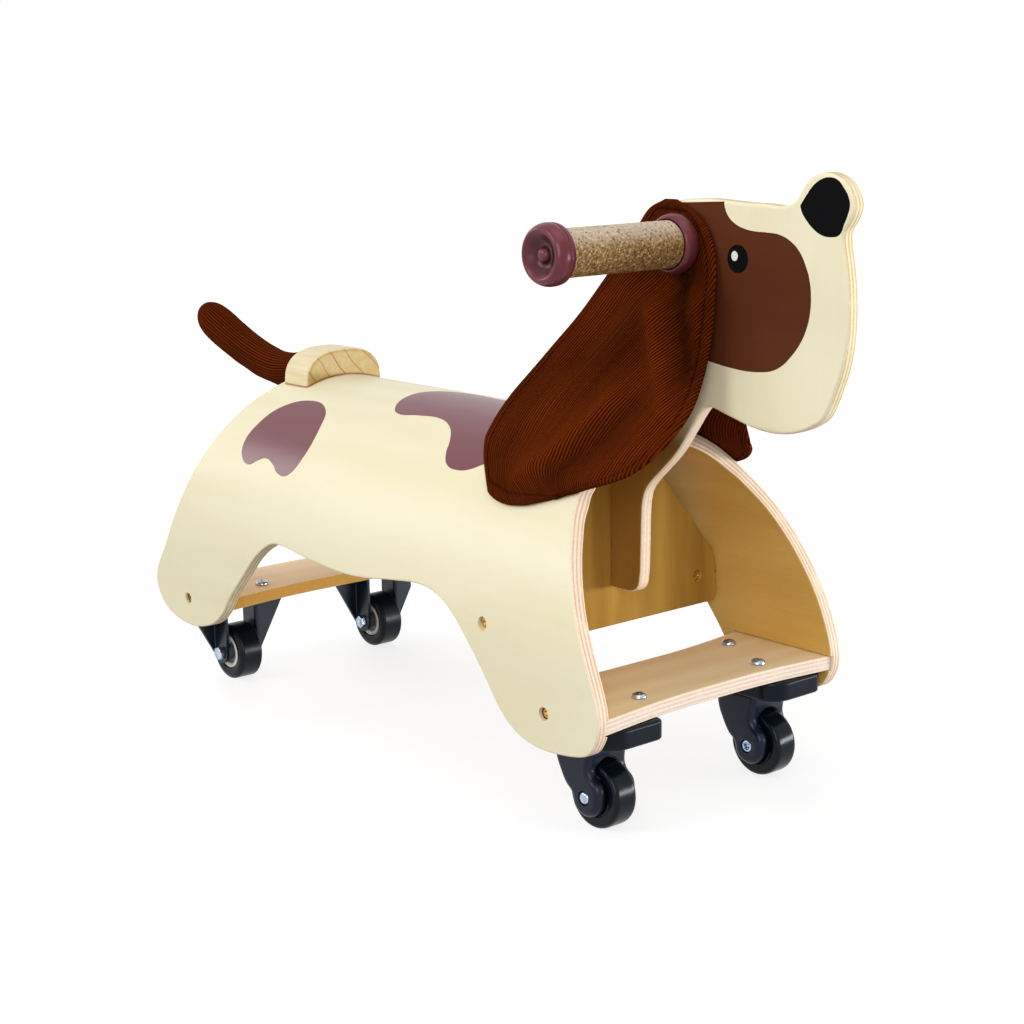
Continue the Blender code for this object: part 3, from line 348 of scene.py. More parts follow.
def newMaterial(name, **values):
    material = bpy.data.materials.new(name)
    material.use_nodes = True
    shader = material.node_tree.nodes["Principled BSDF"]
    for key, value in values.items():
        shader.inputs[shaderSockets[key]].default_value = value
    return material, material.node_tree, shader


def addBump(tree, shader, height, distance, strength):
    made = addNode(tree, "ShaderNodeBump", {"Height": height, "Distance": distance, "Strength": strength})
    tree.links.new(made.outputs[0], shader.inputs["Normal"])


def objectPoint(tree, scale=(1, 1, 1), turn=(0, 0, 0)):
    coords = tree.nodes.new("ShaderNodeTexCoord")
    made = addNode(tree, "ShaderNodeMapping", {"Vector": coords.outputs["Object"], "Scale": scale,
                                               "Rotation": [math.radians(a) for a in turn]})
    return made.outputs[0]


def objectAxes(tree):
    coords = tree.nodes.new("ShaderNodeTexCoord")
    made = addNode(tree, "ShaderNodeSeparateXYZ", {0: coords.outputs["Object"]})
    return made.outputs[0], made.outputs[1], made.outputs[2]


# Camera, floor and lights
studio = {
    "cameraPlace": (1113.5, -895.1, 471.7), "heading": 39.93, "pitch": 12.26, "roll": -0.82, "lens": 69.34,
    "roomLight": 0.34, "roomTint": (0.97, 0.98, 1.0, 1.0),
    # the floor glows to the eye only, from one strength to the other between two distances
    "floorSize": 40, "floorTone": 0.3, "floorGlow": (0.78, 1.0), "glowFrom": (0.45, 1.5),
    # softboxes are (place, size, power), then for some what they aim at and whether a gloss shows them
    "softboxes": {
        "keySoftbox": ((-0.5, -2.2, 1.4), (1.1, 0.9), 20.5),
        "topSoftbox": ((0.7, -0.2, 1.95), (1.5, 1.2), 8.0),
        "frontSoftbox": ((1.45, -1.35, 0.85), (0.6, 1.2), 13.5),
        "lowSoftbox": ((1.35, 1.1, 0.14), (1.2, 0.24), 19.0),
        "rearSoftbox": ((-1.0, 0.45, 0.42), (0.6, 0.5), 5.5, (-0.2, 0, 0.08), False),
        "sideSoftbox": ((-2.0, -1.25, 1.05), (0.9, 0.6), 8.5),
    },
}


def makeCamera(values):
    data = bpy.data.cameras.new("camera")
    data.lens = values["lens"]
    data.sensor_width = 36.0
    obj = linked("camera", data)
    heading, pitch, roll = (math.radians(values[k]) for k in ("heading", "pitch", "roll"))
    level = Vector((-math.cos(heading), math.sin(heading), 0.0))
    ahead = math.cos(pitch) * level - Vector((0, 0, math.sin(pitch)))
    above = math.cos(pitch) * Vector((0, 0, 1)) + math.sin(pitch) * level
    across = ahead.cross(above)
    right = math.cos(roll) * across + math.sin(roll) * above
    up = -math.sin(roll) * across + math.cos(roll) * above
    turn = Matrix((right, up, -ahead)).transposed()
    place = Vector(values["cameraPlace"]) * mm + Vector((shift, 0, 0))
    obj.matrix_world = Matrix.Translation(place) @ turn.to_4x4()
    bpy.context.scene.camera = obj


def makeSoftbox(name, place, size, power, target=(0, 0, 0.2), mirrored=True):
    data = bpy.data.lights.new(name, "AREA")
    data.shape = "RECTANGLE"
    data.size, data.size_y = size
    data.energy = power
    obj = linked(name, data)
    obj.visible_camera = False
    obj.visible_glossy = mirrored
    obj.location = place
    obj.rotation_euler = (Vector(target) - Vector(place)).to_track_quat("-Z", "Y").to_euler()


def seenRay(tree):
    # 1 for rays that only look: from the camera, a gloss or a see-through surface
    path = tree.nodes.new("ShaderNodeLightPath")
    total = path.outputs["Is Camera Ray"]
    for other in ("Is Glossy Ray", "Is Transmission Ray"):
        total = calc(tree, "MAXIMUM", total, path.outputs[other])
    return total


def makeBackdrop(values):
    world = bpy.data.worlds.new("room")
    bpy.context.scene.world = world
    world.use_nodes = True
    tree = world.node_tree
    tree.nodes.clear()
    lit = addNode(tree, "ShaderNodeBackground",
                  {"Color": values["roomTint"], "Strength": values["roomLight"]})
    shown = addNode(tree, "ShaderNodeBackground", {"Color": (1, 1, 1, 1), "Strength": 1.0})
    mix = addNode(tree, "ShaderNodeMixShader", {0: seenRay(tree), 1: lit.outputs[0], 2: shown.outputs[0]})
    addNode(tree, "ShaderNodeOutputWorld", {"Surface": mix.outputs[0]})


def makeFloor(values):
    bpy.ops.object.select_all(action="DESELECT")
    bpy.ops.mesh.primitive_plane_add(size=values["floorSize"], location=(0, 0, 0))
    floor = bpy.context.active_object
    floor.name = "floor"
    tone = values["floorTone"]
    material, tree, shader = newMaterial("paleFloor", colour=(tone, tone, tone, 1), rough=0.9, specular=0.0)
    # past the object's shadow the floor is as white as the backdrop
    coords = tree.nodes.new("ShaderNodeTexCoord")
    far = addNode(tree, "ShaderNodeVectorMath", {0: coords.outputs["Object"]}, operation="LENGTH")
    spread = addNode(tree, "ShaderNodeMapRange", {
        "Value": far.outputs["Value"], "From Min": values["glowFrom"][0], "From Max": values["glowFrom"][1],
        "To Min": values["floorGlow"][0], "To Max": values["floorGlow"][1]}, interpolation_type="SMOOTHSTEP")
    strength = calc(tree, "MULTIPLY", seenRay(tree), spread.outputs[0])
    glow = addNode(tree, "ShaderNodeEmission", {"Strength": strength})
    both = addNode(tree, "ShaderNodeAddShader", {0: shader.outputs[0], 1: glow.outputs[0]})
    tree.links.new(both.outputs[0], tree.nodes["Material Output"].inputs["Surface"])
    floor.data.materials.append(material)
    floor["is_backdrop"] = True


makeCamera(studio)
makeBackdrop(studio)
makeFloor(studio)
for name, lamp in studio["softboxes"].items():
    makeSoftbox(name, *lamp)
bpy.context.scene.view_settings.view_transform = "Standard"
print("camera, floor and lights made")


# Wood: veneer figure along the vector's X, and the plies on an edge
def makeVeneerGroup():
    tree, given, out = newGroup("veneerGrain", [
        ("Vector", "NodeSocketVector", None), ("Light", "NodeSocketColor", (1, 1, 1, 1)),
        ("Dark", "NodeSocketColor", (0.5, 0.4, 0.3, 1)), ("Figure", "NodeSocketFloat", 0.5),
        ("Fibre", "NodeSocketFloat", 0.3), ("Pores", "NodeSocketFloat", 0.2),
    ], [("Color", "NodeSocketColor"), ("Height", "NodeSocketFloat"), ("Gloss", "NodeSocketFloat")])
    vector = given.outputs["Vector"]
    figure = noiseOn(tree, stretched(tree, vector, (3.2, 17.0, 17.0)), 1.0, 3.0,
                     {"Roughness": 0.55, "Distortion": 0.8})
    cathedral = addNode(tree, "ShaderNodeTexWave", {
        "Vector": stretched(tree, vector, (1.5, 9.0, 9.0)), "Scale": 1.4, "Distortion": 7.5, "Detail": 2.0,
        "Detail Scale": 0.9, "Detail Roughness": 0.5}, wave_type="BANDS", bands_direction="Y")
    fibre = noiseOn(tree, stretched(tree, vector, (34.0, 900.0, 900.0)), extra={"Roughness": 0.6})
    streak = noiseOn(tree, stretched(tree, vector, (7.0, 150.0, 150.0)))
    pore = noiseOn(tree, stretched(tree, vector, (210.0, 2400.0, 2400.0)), detail=0.0)
    bands = calc(tree, "MULTIPLY", cathedral.outputs["Fac"], 0.4)
    tone = calc(tree, "MULTIPLY_ADD", ease(tree, figure, 0.3, 0.72), 0.6, bands)
    tone = calc(tree, "MULTIPLY", tone, given.outputs["Figure"])
    fibrous = calc(tree, "MULTIPLY", calc(tree, "SUBTRACT", fibre, 0.5), 0.9)
    tone = calc(tree, "MULTIPLY_ADD", sway(tree, streak, 0.7, fibrous), given.outputs["Fibre"], tone)
    spots = ease(tree, pore, 0.64, 0.75)
    tone = calc(tree, "MULTIPLY_ADD", spots, given.outputs["Pores"], tone, clamp=True)
    colour = blendColour(tree, tone, given.outputs["Light"], given.outputs["Dark"])
    height = calc(tree, "SUBTRACT", calc(tree, "MULTIPLY", fibre, 0.5), calc(tree, "MULTIPLY", spots, 0.6))
    tree.links.new(colour, out.inputs["Color"])
    tree.links.new(height, out.inputs["Height"])
    tree.links.new(calc(tree, "MULTIPLY_ADD", figure, 0.3, 0.25), out.inputs["Gloss"])
    return tree


def makePlyGroup():
    # Share runs from 0 at one face of the board to 1 at the other
    tree, given, out = newGroup("plyLayers", [
        ("Share", "NodeSocketFloat", 0.5), ("Layers", "NodeSocketFloat", 7.0),
        ("Vector", "NodeSocketVector", None), ("Pale", "NodeSocketColor", (0.8, 0.7, 0.5, 1)),
        ("Cross", "NodeSocketColor", (0.6, 0.35, 0.25, 1)),
    ], [("Color", "NodeSocketColor"), ("Height", "NodeSocketFloat")])
    vector = given.outputs["Vector"]
    drift = sway(tree, noiseOn(tree, vector, 26.0), 0.05, given.outputs["Share"])
    turns = calc(tree, "MULTIPLY", calc(tree, "MULTIPLY", drift, given.outputs["Layers"]), -math.pi)
    patchy = ease(tree, noiseOn(tree, vector, 60.0, 3.0), 0.2, 0.5)
    crossing = calc(tree, "MULTIPLY", ease(tree, calc(tree, "SINE", turns), -0.3, 0.7), patchy)
    grain = noiseOn(tree, stretched(tree, vector, (520, 520, 520)), 1.0, 3.0)
    colour = blendColour(tree, crossing, given.outputs["Pale"], given.outputs["Cross"])
    colour = blendColour(tree, 1.0, colour, greyOf(tree, sway(tree, grain, 0.28, 1.0)), "MULTIPLY")
    height = calc(tree, "SUBTRACT", calc(tree, "MULTIPLY", grain, 0.5), calc(tree, "MULTIPLY", crossing, 0.3))
    tree.links.new(colour, out.inputs["Color"])
    tree.links.new(height, out.inputs["Height"])
    return tree


def makeWearGroup():
    # faint handling marks: small changes of gloss here and there
    tree, given, out = newGroup("handlingWear", [
        ("Vector", "NodeSocketVector", None), ("Amount", "NodeSocketFloat", 1.0),
        ("Gloss", "NodeSocketFloat", 0.35)], [("Roughness", "NodeSocketFloat")])
    smear = noiseOn(tree, given.outputs["Vector"], 16.0, 4.0, {"Roughness": 0.65})
    change = calc(tree, "MULTIPLY", calc(tree, "SUBTRACT", smear, 0.5), given.outputs["Amount"])
    rough = calc(tree, "MULTIPLY_ADD", change, 0.3, given.outputs["Gloss"], clamp=True)
    tree.links.new(rough, out.inputs["Roughness"])
    return tree


veneerGrain = makeVeneerGroup()
plyLayers = makePlyGroup()
handlingWear = makeWearGroup()


def veneerOn(tree, along, light, dark, figure, fibre, pores):
    return useGroup(tree, veneerGrain, {"Vector": along, "Light": light, "Dark": dark, "Figure": figure,
                                        "Fibre": fibre, "Pores": pores})


def wornGloss(tree, point, amount, gloss):
    wear = useGroup(tree, handlingWear, {"Vector": point, "Amount": amount, "Gloss": gloss})
    return wear.outputs["Roughness"]


woods = {
    "creamLight": toLinear(246, 238, 207), "creamDark": toLinear(236, 221, 175),
    # the inner faces: the same veneer as the outer, in golden tones of painted shade and bounce light
    "innerShadeLight": toLinear(230, 190, 108), "innerShadeDark": toLinear(204, 156, 66),
    # the neck below the head: cream wood in painted shade tones
    "neckShadeLight": toLinear(154, 116, 56), "neckShadeDark": toLinear(124, 90, 38),
    # the bulkhead: pale ply in golden tones of painted shade and bounce light
    "panelShadeLight": toLinear(196, 154, 74), "panelShadeDark": toLinear(154, 112, 44),
    "stepLight": toLinear(252, 232, 196), "stepDark": toLinear(234, 204, 152),
    "rearLight": toLinear(252, 232, 200), "rearDark": toLinear(244, 214, 172),
    "edgePale": toLinear(244, 226, 198), "edgePink": toLinear(224, 182, 160),
    "edgeTan": toLinear(214, 190, 130),
    "stepEdge": toLinear(244, 228, 212), "stepCross": toLinear(232, 204, 184),
    "edgeGold": toLinear(220, 168, 84), "edgeCream": toLinear(240, 228, 194),
    "pineLight": toLinear(242, 226, 186), "pineDark": toLinear(184, 158, 92),
    "pineRing": toLinear(146, 60, 2),
    "rodLight": toLinear(214, 176, 124), "rodDark": toLinear(164, 118, 70),
}


def plywood(name, share, grainTurn, face, figure, fibre, back=None, edge=("edgePale", "edgePink"),
            second=None, low=None, gloss=0.44, coat=0.2, specular=0.12):
    # share(tree) gives 0 at one face and 1 at the other; face, back and edge are pairs of colours
    material, tree, shader = newMaterial(name, specular=specular, coat=coat, coatRough=0.36)
    depth = share(tree)
    along = objectPoint(tree, turn=grainTurn)
    veneer = veneerOn(tree, along, woods[face[0]], woods[face[1]], figure, fibre, 0.12)
    surface = veneer.outputs["Color"]
    rough = wornGloss(tree, objectPoint(tree), 1.0, gloss)
    ahead, _, up = objectAxes(tree)
    if low:
        # painted shade: below two heights the face takes darker golden tones, as in shadow with bounce light
        shadeLight, shadeDark, shadeFrom, shadeTo, footPale, footCross = low
        foot = veneerOn(tree, along, woods[shadeLight], woods[shadeDark], 0.8, 0.4, 0.2)
        surface = blendColour(tree, ease(tree, up, shadeFrom, shadeTo), foot.outputs["Color"], surface)
    # the other face in its own tones; on the arch these are painted shade
    if back:
        inner = veneerOn(tree, along, woods[back[0]], woods[back[1]], figure * 1.2, fibre * 1.5, 0.2)
        inside = ease(tree, depth, 0.45, 0.55)
        surface = blendColour(tree, inside, surface, inner.outputs["Color"])
        rough = calc(tree, "MULTIPLY_ADD", inside, 0.22, rough)
    pale, cross = woods[edge[0]], woods[edge[1]]
    if second:
        # the edge's cross layers change from one tone to another along the board
        tone, changeFrom, changeTo = second
        cross = blendColour(tree, ease(tree, ahead, changeFrom, changeTo), woods[tone], cross)
    if low:
        upward = ease(tree, up, shadeTo, shadeTo + 8 * mm)
        pale = blendColour(tree, upward, woods[footPale], pale)
        cross = blendColour(tree, upward, woods[footCross], cross)
    plies = useGroup(tree, plyLayers, {"Share": depth, "Layers": 7.0, "Vector": objectPoint(tree),
                                       "Pale": pale, "Cross": cross})
    middle = calc(tree, "ABSOLUTE", calc(tree, "SUBTRACT", depth, 0.5))
    onEdge = opposite(tree, ease(tree, middle, 0.425, 0.475))
    colour = blendColour(tree, onEdge, surface, plies.outputs["Color"])
    tree.links.new(colour, shader.inputs["Base Color"])
    rough = calc(tree, "MULTIPLY_ADD", onEdge, 0.2, rough, clamp=True)
    tree.links.new(rough, shader.inputs["Roughness"])
    height = calc(tree, "ADD", calc(tree, "MULTIPLY", veneer.outputs["Height"], opposite(tree, onEdge)),
                  calc(tree, "MULTIPLY", plies.outputs["Height"], onEdge))
    addBump(tree, shader, height, 0.00012, 0.35)
    return material


archShape = {"halfWidth": 113.0 * mm, "top": 248.0 * mm, "spring": 114.0 * mm, "ply": 10.0 * mm}


def archShare(tree):
    return attributeOf(tree, "plyDepth")


def flatShare(axis, low, high):
    def share(tree):
        value = objectAxes(tree)[axis]
        return calc(tree, "DIVIDE", calc(tree, "SUBTRACT", value, low), high - low)
    return share


def boardShare(box, axis):
    low, high = box
    return flatShare(axis, low[axis], high[axis])


archPly = plywood("archPly", archShare, (0, 0, 0), ("creamLight", "creamDark"), 0.5, 0.2,
                  back=("innerShadeLight", "innerShadeDark"), second=("edgeTan", 120 * mm + shift, 200 * mm + shift))
# the head's neck is painted in shade tones below the head
headPly = plywood("headPly", flatShare(1, -5 * mm, 5 * mm), (0, 90, 0), ("creamLight", "creamDark"), 0.45,
                  0.18, edge=("edgeCream", "edgeTan"), coat=0.08, specular=0.22,
                  low=("neckShadeLight", "neckShadeDark", 238 * mm, 266 * mm, "edgePale", "stepCross"))
frontPly = plywood("frontBoardPly", boardShare(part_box("front_board"), 2), (0, 0, 90),
                   ("stepLight", "stepDark"), 0.8, 0.35, edge=("stepEdge", "stepCross"), gloss=0.6,
                   coat=0.0)
rearPly = plywood("rearBoardPly", boardShare(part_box("rear_board"), 2), (0, 0, 90),
                  ("rearLight", "rearDark"), 0.7, 0.3, edge=("edgeGold", "edgeGold"), gloss=0.6, coat=0.0)
bulkheadPly = plywood("bulkheadPly", boardShare(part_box("bulkhead"), 0), (0, 90, 0),
                      ("panelShadeLight", "panelShadeDark"), 0.8, 0.4, edge=("edgeGold", "innerShadeDark"), gloss=0.65,
                      coat=0.0, specular=0.06)


# Pine: year rings about a pith above the block, and a dark line where it is glued to the arch, partly glue
# stain and partly painted contact shade
pine = {"pith": (0.235, 0.462), "ringGap": 0.0122, "warp": 0.011, "stainAndShade": (1.005, 1.016)}


def makePine(values):
    material, tree, shader = newMaterial("pineBlock", specular=0.3, coat=0.08, coatRough=0.35)
    # the rings lean across the front and back faces, unevenly spaced, and fade over the rounded crown
    _, y, z = objectAxes(tree)
    warp = noiseOn(tree, objectPoint(tree, scale=(8, 22, 22)))
    reach = reachOf(tree, calc(tree, "SUBTRACT", y, values["pith"][0]),
                    calc(tree, "SUBTRACT", z, values["pith"][1]))
    count = calc(tree, "DIVIDE", sway(tree, warp, values["warp"], reach), values["ringGap"])
    part = calc(tree, "FRACT", count)
    late = calc(tree, "MULTIPLY", ease(tree, part, 0.84, 0.93), opposite(tree, ease(tree, part, 0.94, 0.98)))
    lot = lotOf(tree, calc(tree, "FLOOR", count))
    late = calc(tree, "MULTIPLY", late, calc(tree, "MULTIPLY_ADD", lot, 0.7, 0.42))
    fibre = noiseOn(tree, objectPoint(tree, scale=(60, 1500, 1500)))
    streak = noiseOn(tree, objectPoint(tree, scale=(14, 190, 190)), 1.0, 3.0)
    tone = calc(tree, "MULTIPLY_ADD", streak, 0.7, calc(tree, "MULTIPLY", fibre, 0.3))
    normal = tree.nodes.new("ShaderNodeNewGeometry")
    facing = addNode(tree, "ShaderNodeSeparateXYZ", {0: normal.outputs["Normal"]}).outputs[0]
    endGrain = ease(tree, calc(tree, "ABSOLUTE", facing), 0.5, 0.95)
    tone = calc(tree, "SUBTRACT", calc(tree, "MULTIPLY_ADD", endGrain, 0.84, tone), 0.36, clamp=True)
    body = blendColour(tree, tone, woods["pineLight"], woods["pineDark"])
    strength = calc(tree, "MULTIPLY_ADD", endGrain, 0.9, 0.08)
    colour = blendColour(tree, calc(tree, "MULTIPLY", late, strength), body, woods["pineRing"])
    wide = calc(tree, "DIVIDE", y, archShape["halfWidth"])
    rise = calc(tree, "SUBTRACT", z, archShape["spring"])
    tall = calc(tree, "DIVIDE", rise, archShape["top"] - archShape["spring"])
    # the dark line at the joint with the arch: part glue stain, part painted contact shade
    stainAndShade = opposite(tree, ease(tree, reachOf(tree, wide, tall), *values["stainAndShade"]))
    colour = blendColour(tree, calc(tree, "MULTIPLY", stainAndShade, 0.8), colour, woods["pineRing"])
    tree.links.new(colour, shader.inputs["Base Color"])
    tree.links.new(wornGloss(tree, objectPoint(tree), 1.0, 0.44), shader.inputs["Roughness"])
    height = calc(tree, "SUBTRACT", fibre, calc(tree, "MULTIPLY", late, 0.6))
    addBump(tree, shader, height, 0.00015, 0.4)
    return material


def makeHardwood():
    material, tree, shader = newMaterial("hardwoodRod", specular=0.4)
    along = objectPoint(tree, turn=(0, 0, 90))
    veneer = veneerOn(tree, along, woods["rodLight"], woods["rodDark"], 0.7, 0.6, 0.4)
    tree.links.new(veneer.outputs["Color"], shader.inputs["Base Color"])
    tree.links.new(veneer.outputs["Gloss"], shader.inputs["Roughness"])
    addBump(tree, shader, veneer.outputs["Height"], 0.0002, 0.5)
    return material


pineBlock = makePine(pine)
hardwoodRod = makeHardwood()


# Printed patches, a thin coat of paint on the wood
def paint(name, colour, dark, gloss, coat, specular):
    material, tree, shader = newMaterial(name, specular=specular, coat=coat, coatRough=0.28)
    along = objectPoint(tree)
    veneer = veneerOn(tree, along, toLinear(*colour), toLinear(*dark), 0.5, 0.3, 0.12)
    tree.links.new(veneer.outputs["Color"], shader.inputs["Base Color"])
    tree.links.new(wornGloss(tree, along, 0.8, gloss), shader.inputs["Roughness"])
    addBump(tree, shader, veneer.outputs["Height"], 0.0001, 0.3)
    return material


mauvePrint = paint("mauvePrint", (118, 60, 69), (102, 48, 57), 0.4, 0.6, 0.14)
brownPrint = paint("brownPrint", (92, 46, 25), (80, 37, 19), 0.5, 0.0, 0.06)
blackPrint = paint("blackPrint", (11, 11, 13), (8, 8, 10), 0.5, 0.0, 0.03)
whitePrint = paint("whitePrint", (240, 238, 234), (228, 226, 222), 0.4, 0.0, 0.3)


# Corduroy: the UV map is in metres, its U across the wales
cloth = {
    "pitch": 2.3 * mm, "wander": 0.0009, "ridge": (102, 38, 5), "groove": (30, 8, 1), "sheen": (230, 120, 50),
}


def makeCorduroy(values):
    material, tree, shader = newMaterial("corduroy", rough=0.9, specular=0.02, sheen=0.06, sheenRough=0.35,
                                         sheenTint=toLinear(*values["sheen"]))
    uv = addNode(tree, "ShaderNodeUVMap", uv_map="cloth").outputs[0]
    across = addNode(tree, "ShaderNodeSeparateXYZ", {0: uv}).outputs[0]
    wander = noiseOn(tree, stretched(tree, uv, (60, 24, 1)), flat=True)
    turns = calc(tree, "DIVIDE", sway(tree, wander, values["wander"], across), values["pitch"])
    wave = calc(tree, "ABSOLUTE", calc(tree, "SINE", calc(tree, "MULTIPLY", turns, math.pi)))
    wale = calc(tree, "POWER", wave, 0.7)
    lot = lotOf(tree, calc(tree, "FLOOR", turns))
    pile = noiseOn(tree, stretched(tree, uv, (2600, 1500, 1)), flat=True)
    tuft = noiseOn(tree, stretched(tree, uv, (430, 300, 1)), flat=True)
    nap = noiseOn(tree, stretched(tree, uv, (26, 11, 1)), 1.0, 3.0, flat=True)
    lit = calc(tree, "MULTIPLY_ADD", lot, 0.22, 0.78)
    for part, amount in ((pile, 0.5), (tuft, 0.45), (nap, 0.7)):
        lit = sway(tree, part, amount, lit)
    # painted light and shade: the pile is lighter where a fold lifts it, darker in valleys and the stitch
    # groove
    lit = calc(tree, "MULTIPLY_ADD", attributeOf(tree, "paintedFoldShade"), 0.34, lit)
    ridge = blendColour(tree, 1.0, toLinear(*values["ridge"]), greyOf(tree, lit), "MULTIPLY")
    colour = blendColour(tree, ease(tree, wale, 0.3, 0.92), toLinear(*values["groove"]), ridge)
    tree.links.new(colour, shader.inputs["Base Color"])
    height = sway(tree, tuft, 0.25, sway(tree, pile, 0.22, wale))
    addBump(tree, shader, height, 0.00055, 0.9)
    return material


corduroy = makeCorduroy(cloth)


# Cork: pressed grains from dark to pale, with a painted highlight that makes the upper side paler
corkLook = {
    "tones": [(0.0, (44, 22, 8)), (0.36, (80, 48, 20)), (0.5, (122, 82, 38)), (0.66, (150, 108, 56)),
              (0.86, (182, 145, 92)), (1.0, (222, 194, 154))],
    "fleck": (70, 36, 14), "highlightTone": (232, 214, 190), "highlightFrom": (371.7 * mm, 386 * mm),
}


def makeCork(values):
    material, tree, shader = newMaterial("cork", specular=0.35, rough=0.55)
    point = objectPoint(tree)
    cells = addNode(tree, "ShaderNodeTexVoronoi", {"Vector": point, "Scale": 900.0})
    larger = addNode(tree, "ShaderNodeTexVoronoi", {"Vector": point, "Scale": 560.0})
    cloud = noiseOn(tree, point, 420.0, 3.0, {"Roughness": 0.6})
    tone = addNode(tree, "ShaderNodeSeparateColor", {0: cells.outputs["Color"]}).outputs[0]
    mixed = calc(tree, "MULTIPLY_ADD", cloud, 0.9, calc(tree, "MULTIPLY", tone, 0.5))
    ramp = addNode(tree, "ShaderNodeValToRGB", {0: mixed})
    stops = [(place, toLinear(*colour)) for place, colour in values["tones"]]
    for end in (0, -1):
        ramp.color_ramp.elements[end].position, ramp.color_ramp.elements[end].color = stops[end]
    for place, colour in stops[1:-1]:
        ramp.color_ramp.elements.new(place).color = colour
    fleck = addNode(tree, "ShaderNodeSeparateColor", {0: larger.outputs["Color"]}).outputs[1]
    dark = calc(tree, "MULTIPLY", ease(tree, fleck, 0.86, 0.94), 0.5)
    colour = blendColour(tree, dark, ramp.outputs[0], toLinear(*values["fleck"]))
    # painted highlight: paler grains above a height, on the upper side of the grip
    above = ease(tree, objectAxes(tree)[2], *values["highlightFrom"])
    pale = calc(tree, "MULTIPLY", above, ease(tree, mixed, 0.3, 0.62))
    colour = blendColour(tree, calc(tree, "MULTIPLY", pale, 0.72), colour, toLinear(*values["highlightTone"]))
    tree.links.new(colour, shader.inputs["Base Color"])
    height = calc(tree, "SUBTRACT", calc(tree, "MULTIPLY", mixed, 0.8), calc(tree, "MULTIPLY", dark, 0.9))
    addBump(tree, shader, height, 0.0004, 0.7)
    return material


# Plastics, rubber and metals: each has two tones, and the plastics a fine moulded grain
# painted shade in the hollow of the grip's end cap
capDishShade = {"at": (223.5 * mm + shift, 371.7 * mm), "boss": 5 * mm, "from": 7 * mm, "to": 17.5 * mm,
           "tone": (46, 17, 16)}


def plastic(name, colour, shade, gloss, speckle, specular=0.5, tint=(255, 255, 255), dishShade=None, scale=1500.0,
            depth=0.00005):
    material, tree, shader = newMaterial(name, specular=specular, glossTint=toLinear(*tint))
    point = objectPoint(tree)
    tone = ease(tree, noiseOn(tree, point, 22.0, 3.0), 0.3, 0.7)
    base = blendColour(tree, tone, toLinear(*colour), toLinear(*shade))
    if dishShade:
        # painted shade: darker towards the bottom of the end's hollow, round the handle's axis
        x, _, z = objectAxes(tree)
        reach = reachOf(tree, calc(tree, "SUBTRACT", x, dishShade["at"][0]),
                        calc(tree, "SUBTRACT", z, dishShade["at"][1]))
        hollowShade = calc(tree, "MULTIPLY", opposite(tree, ease(tree, reach, dishShade["from"], dishShade["to"])),
                      ease(tree, reach, dishShade["boss"] * 0.6, dishShade["boss"]))
        base = blendColour(tree, calc(tree, "MULTIPLY", hollowShade, 0.9), base, toLinear(*dishShade["tone"]))
    tree.links.new(base, shader.inputs["Base Color"])
    tree.links.new(wornGloss(tree, point, 0.7, gloss), shader.inputs["Roughness"])
    addBump(tree, shader, noiseOn(tree, point, scale, 1.0), depth, speckle)
    return material


def metal(name, colour, shade, gloss):
    material, tree, shader = newMaterial(name, metal=0.95, specular=0.5)
    point = objectPoint(tree)
    cloud = noiseOn(tree, point, 260.0, 3.0)
    base = blendColour(tree, ease(tree, cloud, 0.35, 0.7), toLinear(*colour), toLinear(*shade))
    tree.links.new(base, shader.inputs["Base Color"])
    tree.links.new(wornGloss(tree, point, 1.2, gloss), shader.inputs["Roughness"])
    addBump(tree, shader, cloud, 0.00008, 0.3)
    return material


cork = makeCork(corkLook)
mauvePlastic = plastic("mauvePlastic", (108, 46, 54), (92, 38, 44), 0.3, 0.12, 0.42, (255, 206, 218), capDishShade)
blackPlastic = plastic("blackPlastic", (14, 22, 32), (10, 16, 25), 0.28, 0.2, 0.13)
# the fork's black plastic, made lighter and bluer than the base's: painted light
litForkPlastic = plastic("litForkPlastic", (20, 29, 50), (14, 20, 36), 0.32, 0.2, 0.24)
wheelPlastic = plastic("wheelPlastic", (10, 18, 28), (7, 13, 21), 0.22, 0.1, 0.17)
tyreRubber = plastic("tyreRubber", (13, 20, 32), (9, 14, 23), 0.3, 0.25, 0.17)
hubPlastic = plastic("hubPlastic", (96, 104, 110), (76, 84, 90), 0.34, 0.15)
hubRing = plastic("hubRing", (244, 240, 228), (232, 228, 214), 0.32, 0.12)
forkSteel = plastic("paintedSteel", (22, 34, 50), (16, 26, 40), 0.3, 0.3, 0.35, scale=700.0, depth=0.0001)
zincSteel = metal("zincSteel", (196, 210, 228), (150, 166, 188), 0.22)
yellowZinc = metal("yellowZinc", (206, 180, 124), (168, 138, 82), 0.26)
print("materials made")

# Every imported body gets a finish, zinc where none is named, also those that a piece stands for below
byPrefix = (
    ("handle_rod", hardwoodRod), ("tail_peg", hardwoodRod), ("side_bolt", yellowZinc),
    ("barrel_nut_mid", yellowZinc), ("body_shell", archPly), ("ear_", corduroy), ("tail", corduroy),
    ("grip_", cork), ("back_block", pineBlock), ("front_board", frontPly), ("rear_board", rearPly),
    ("bulkhead", bulkheadPly), ("head_board", headPly),
)
for name, obj in nodes.items():
    for place in obj.material_slots:
        place.material = next((m for prefix, m in byPrefix if name.startswith(prefix)), zincSteel)
print("packed bodies finished")


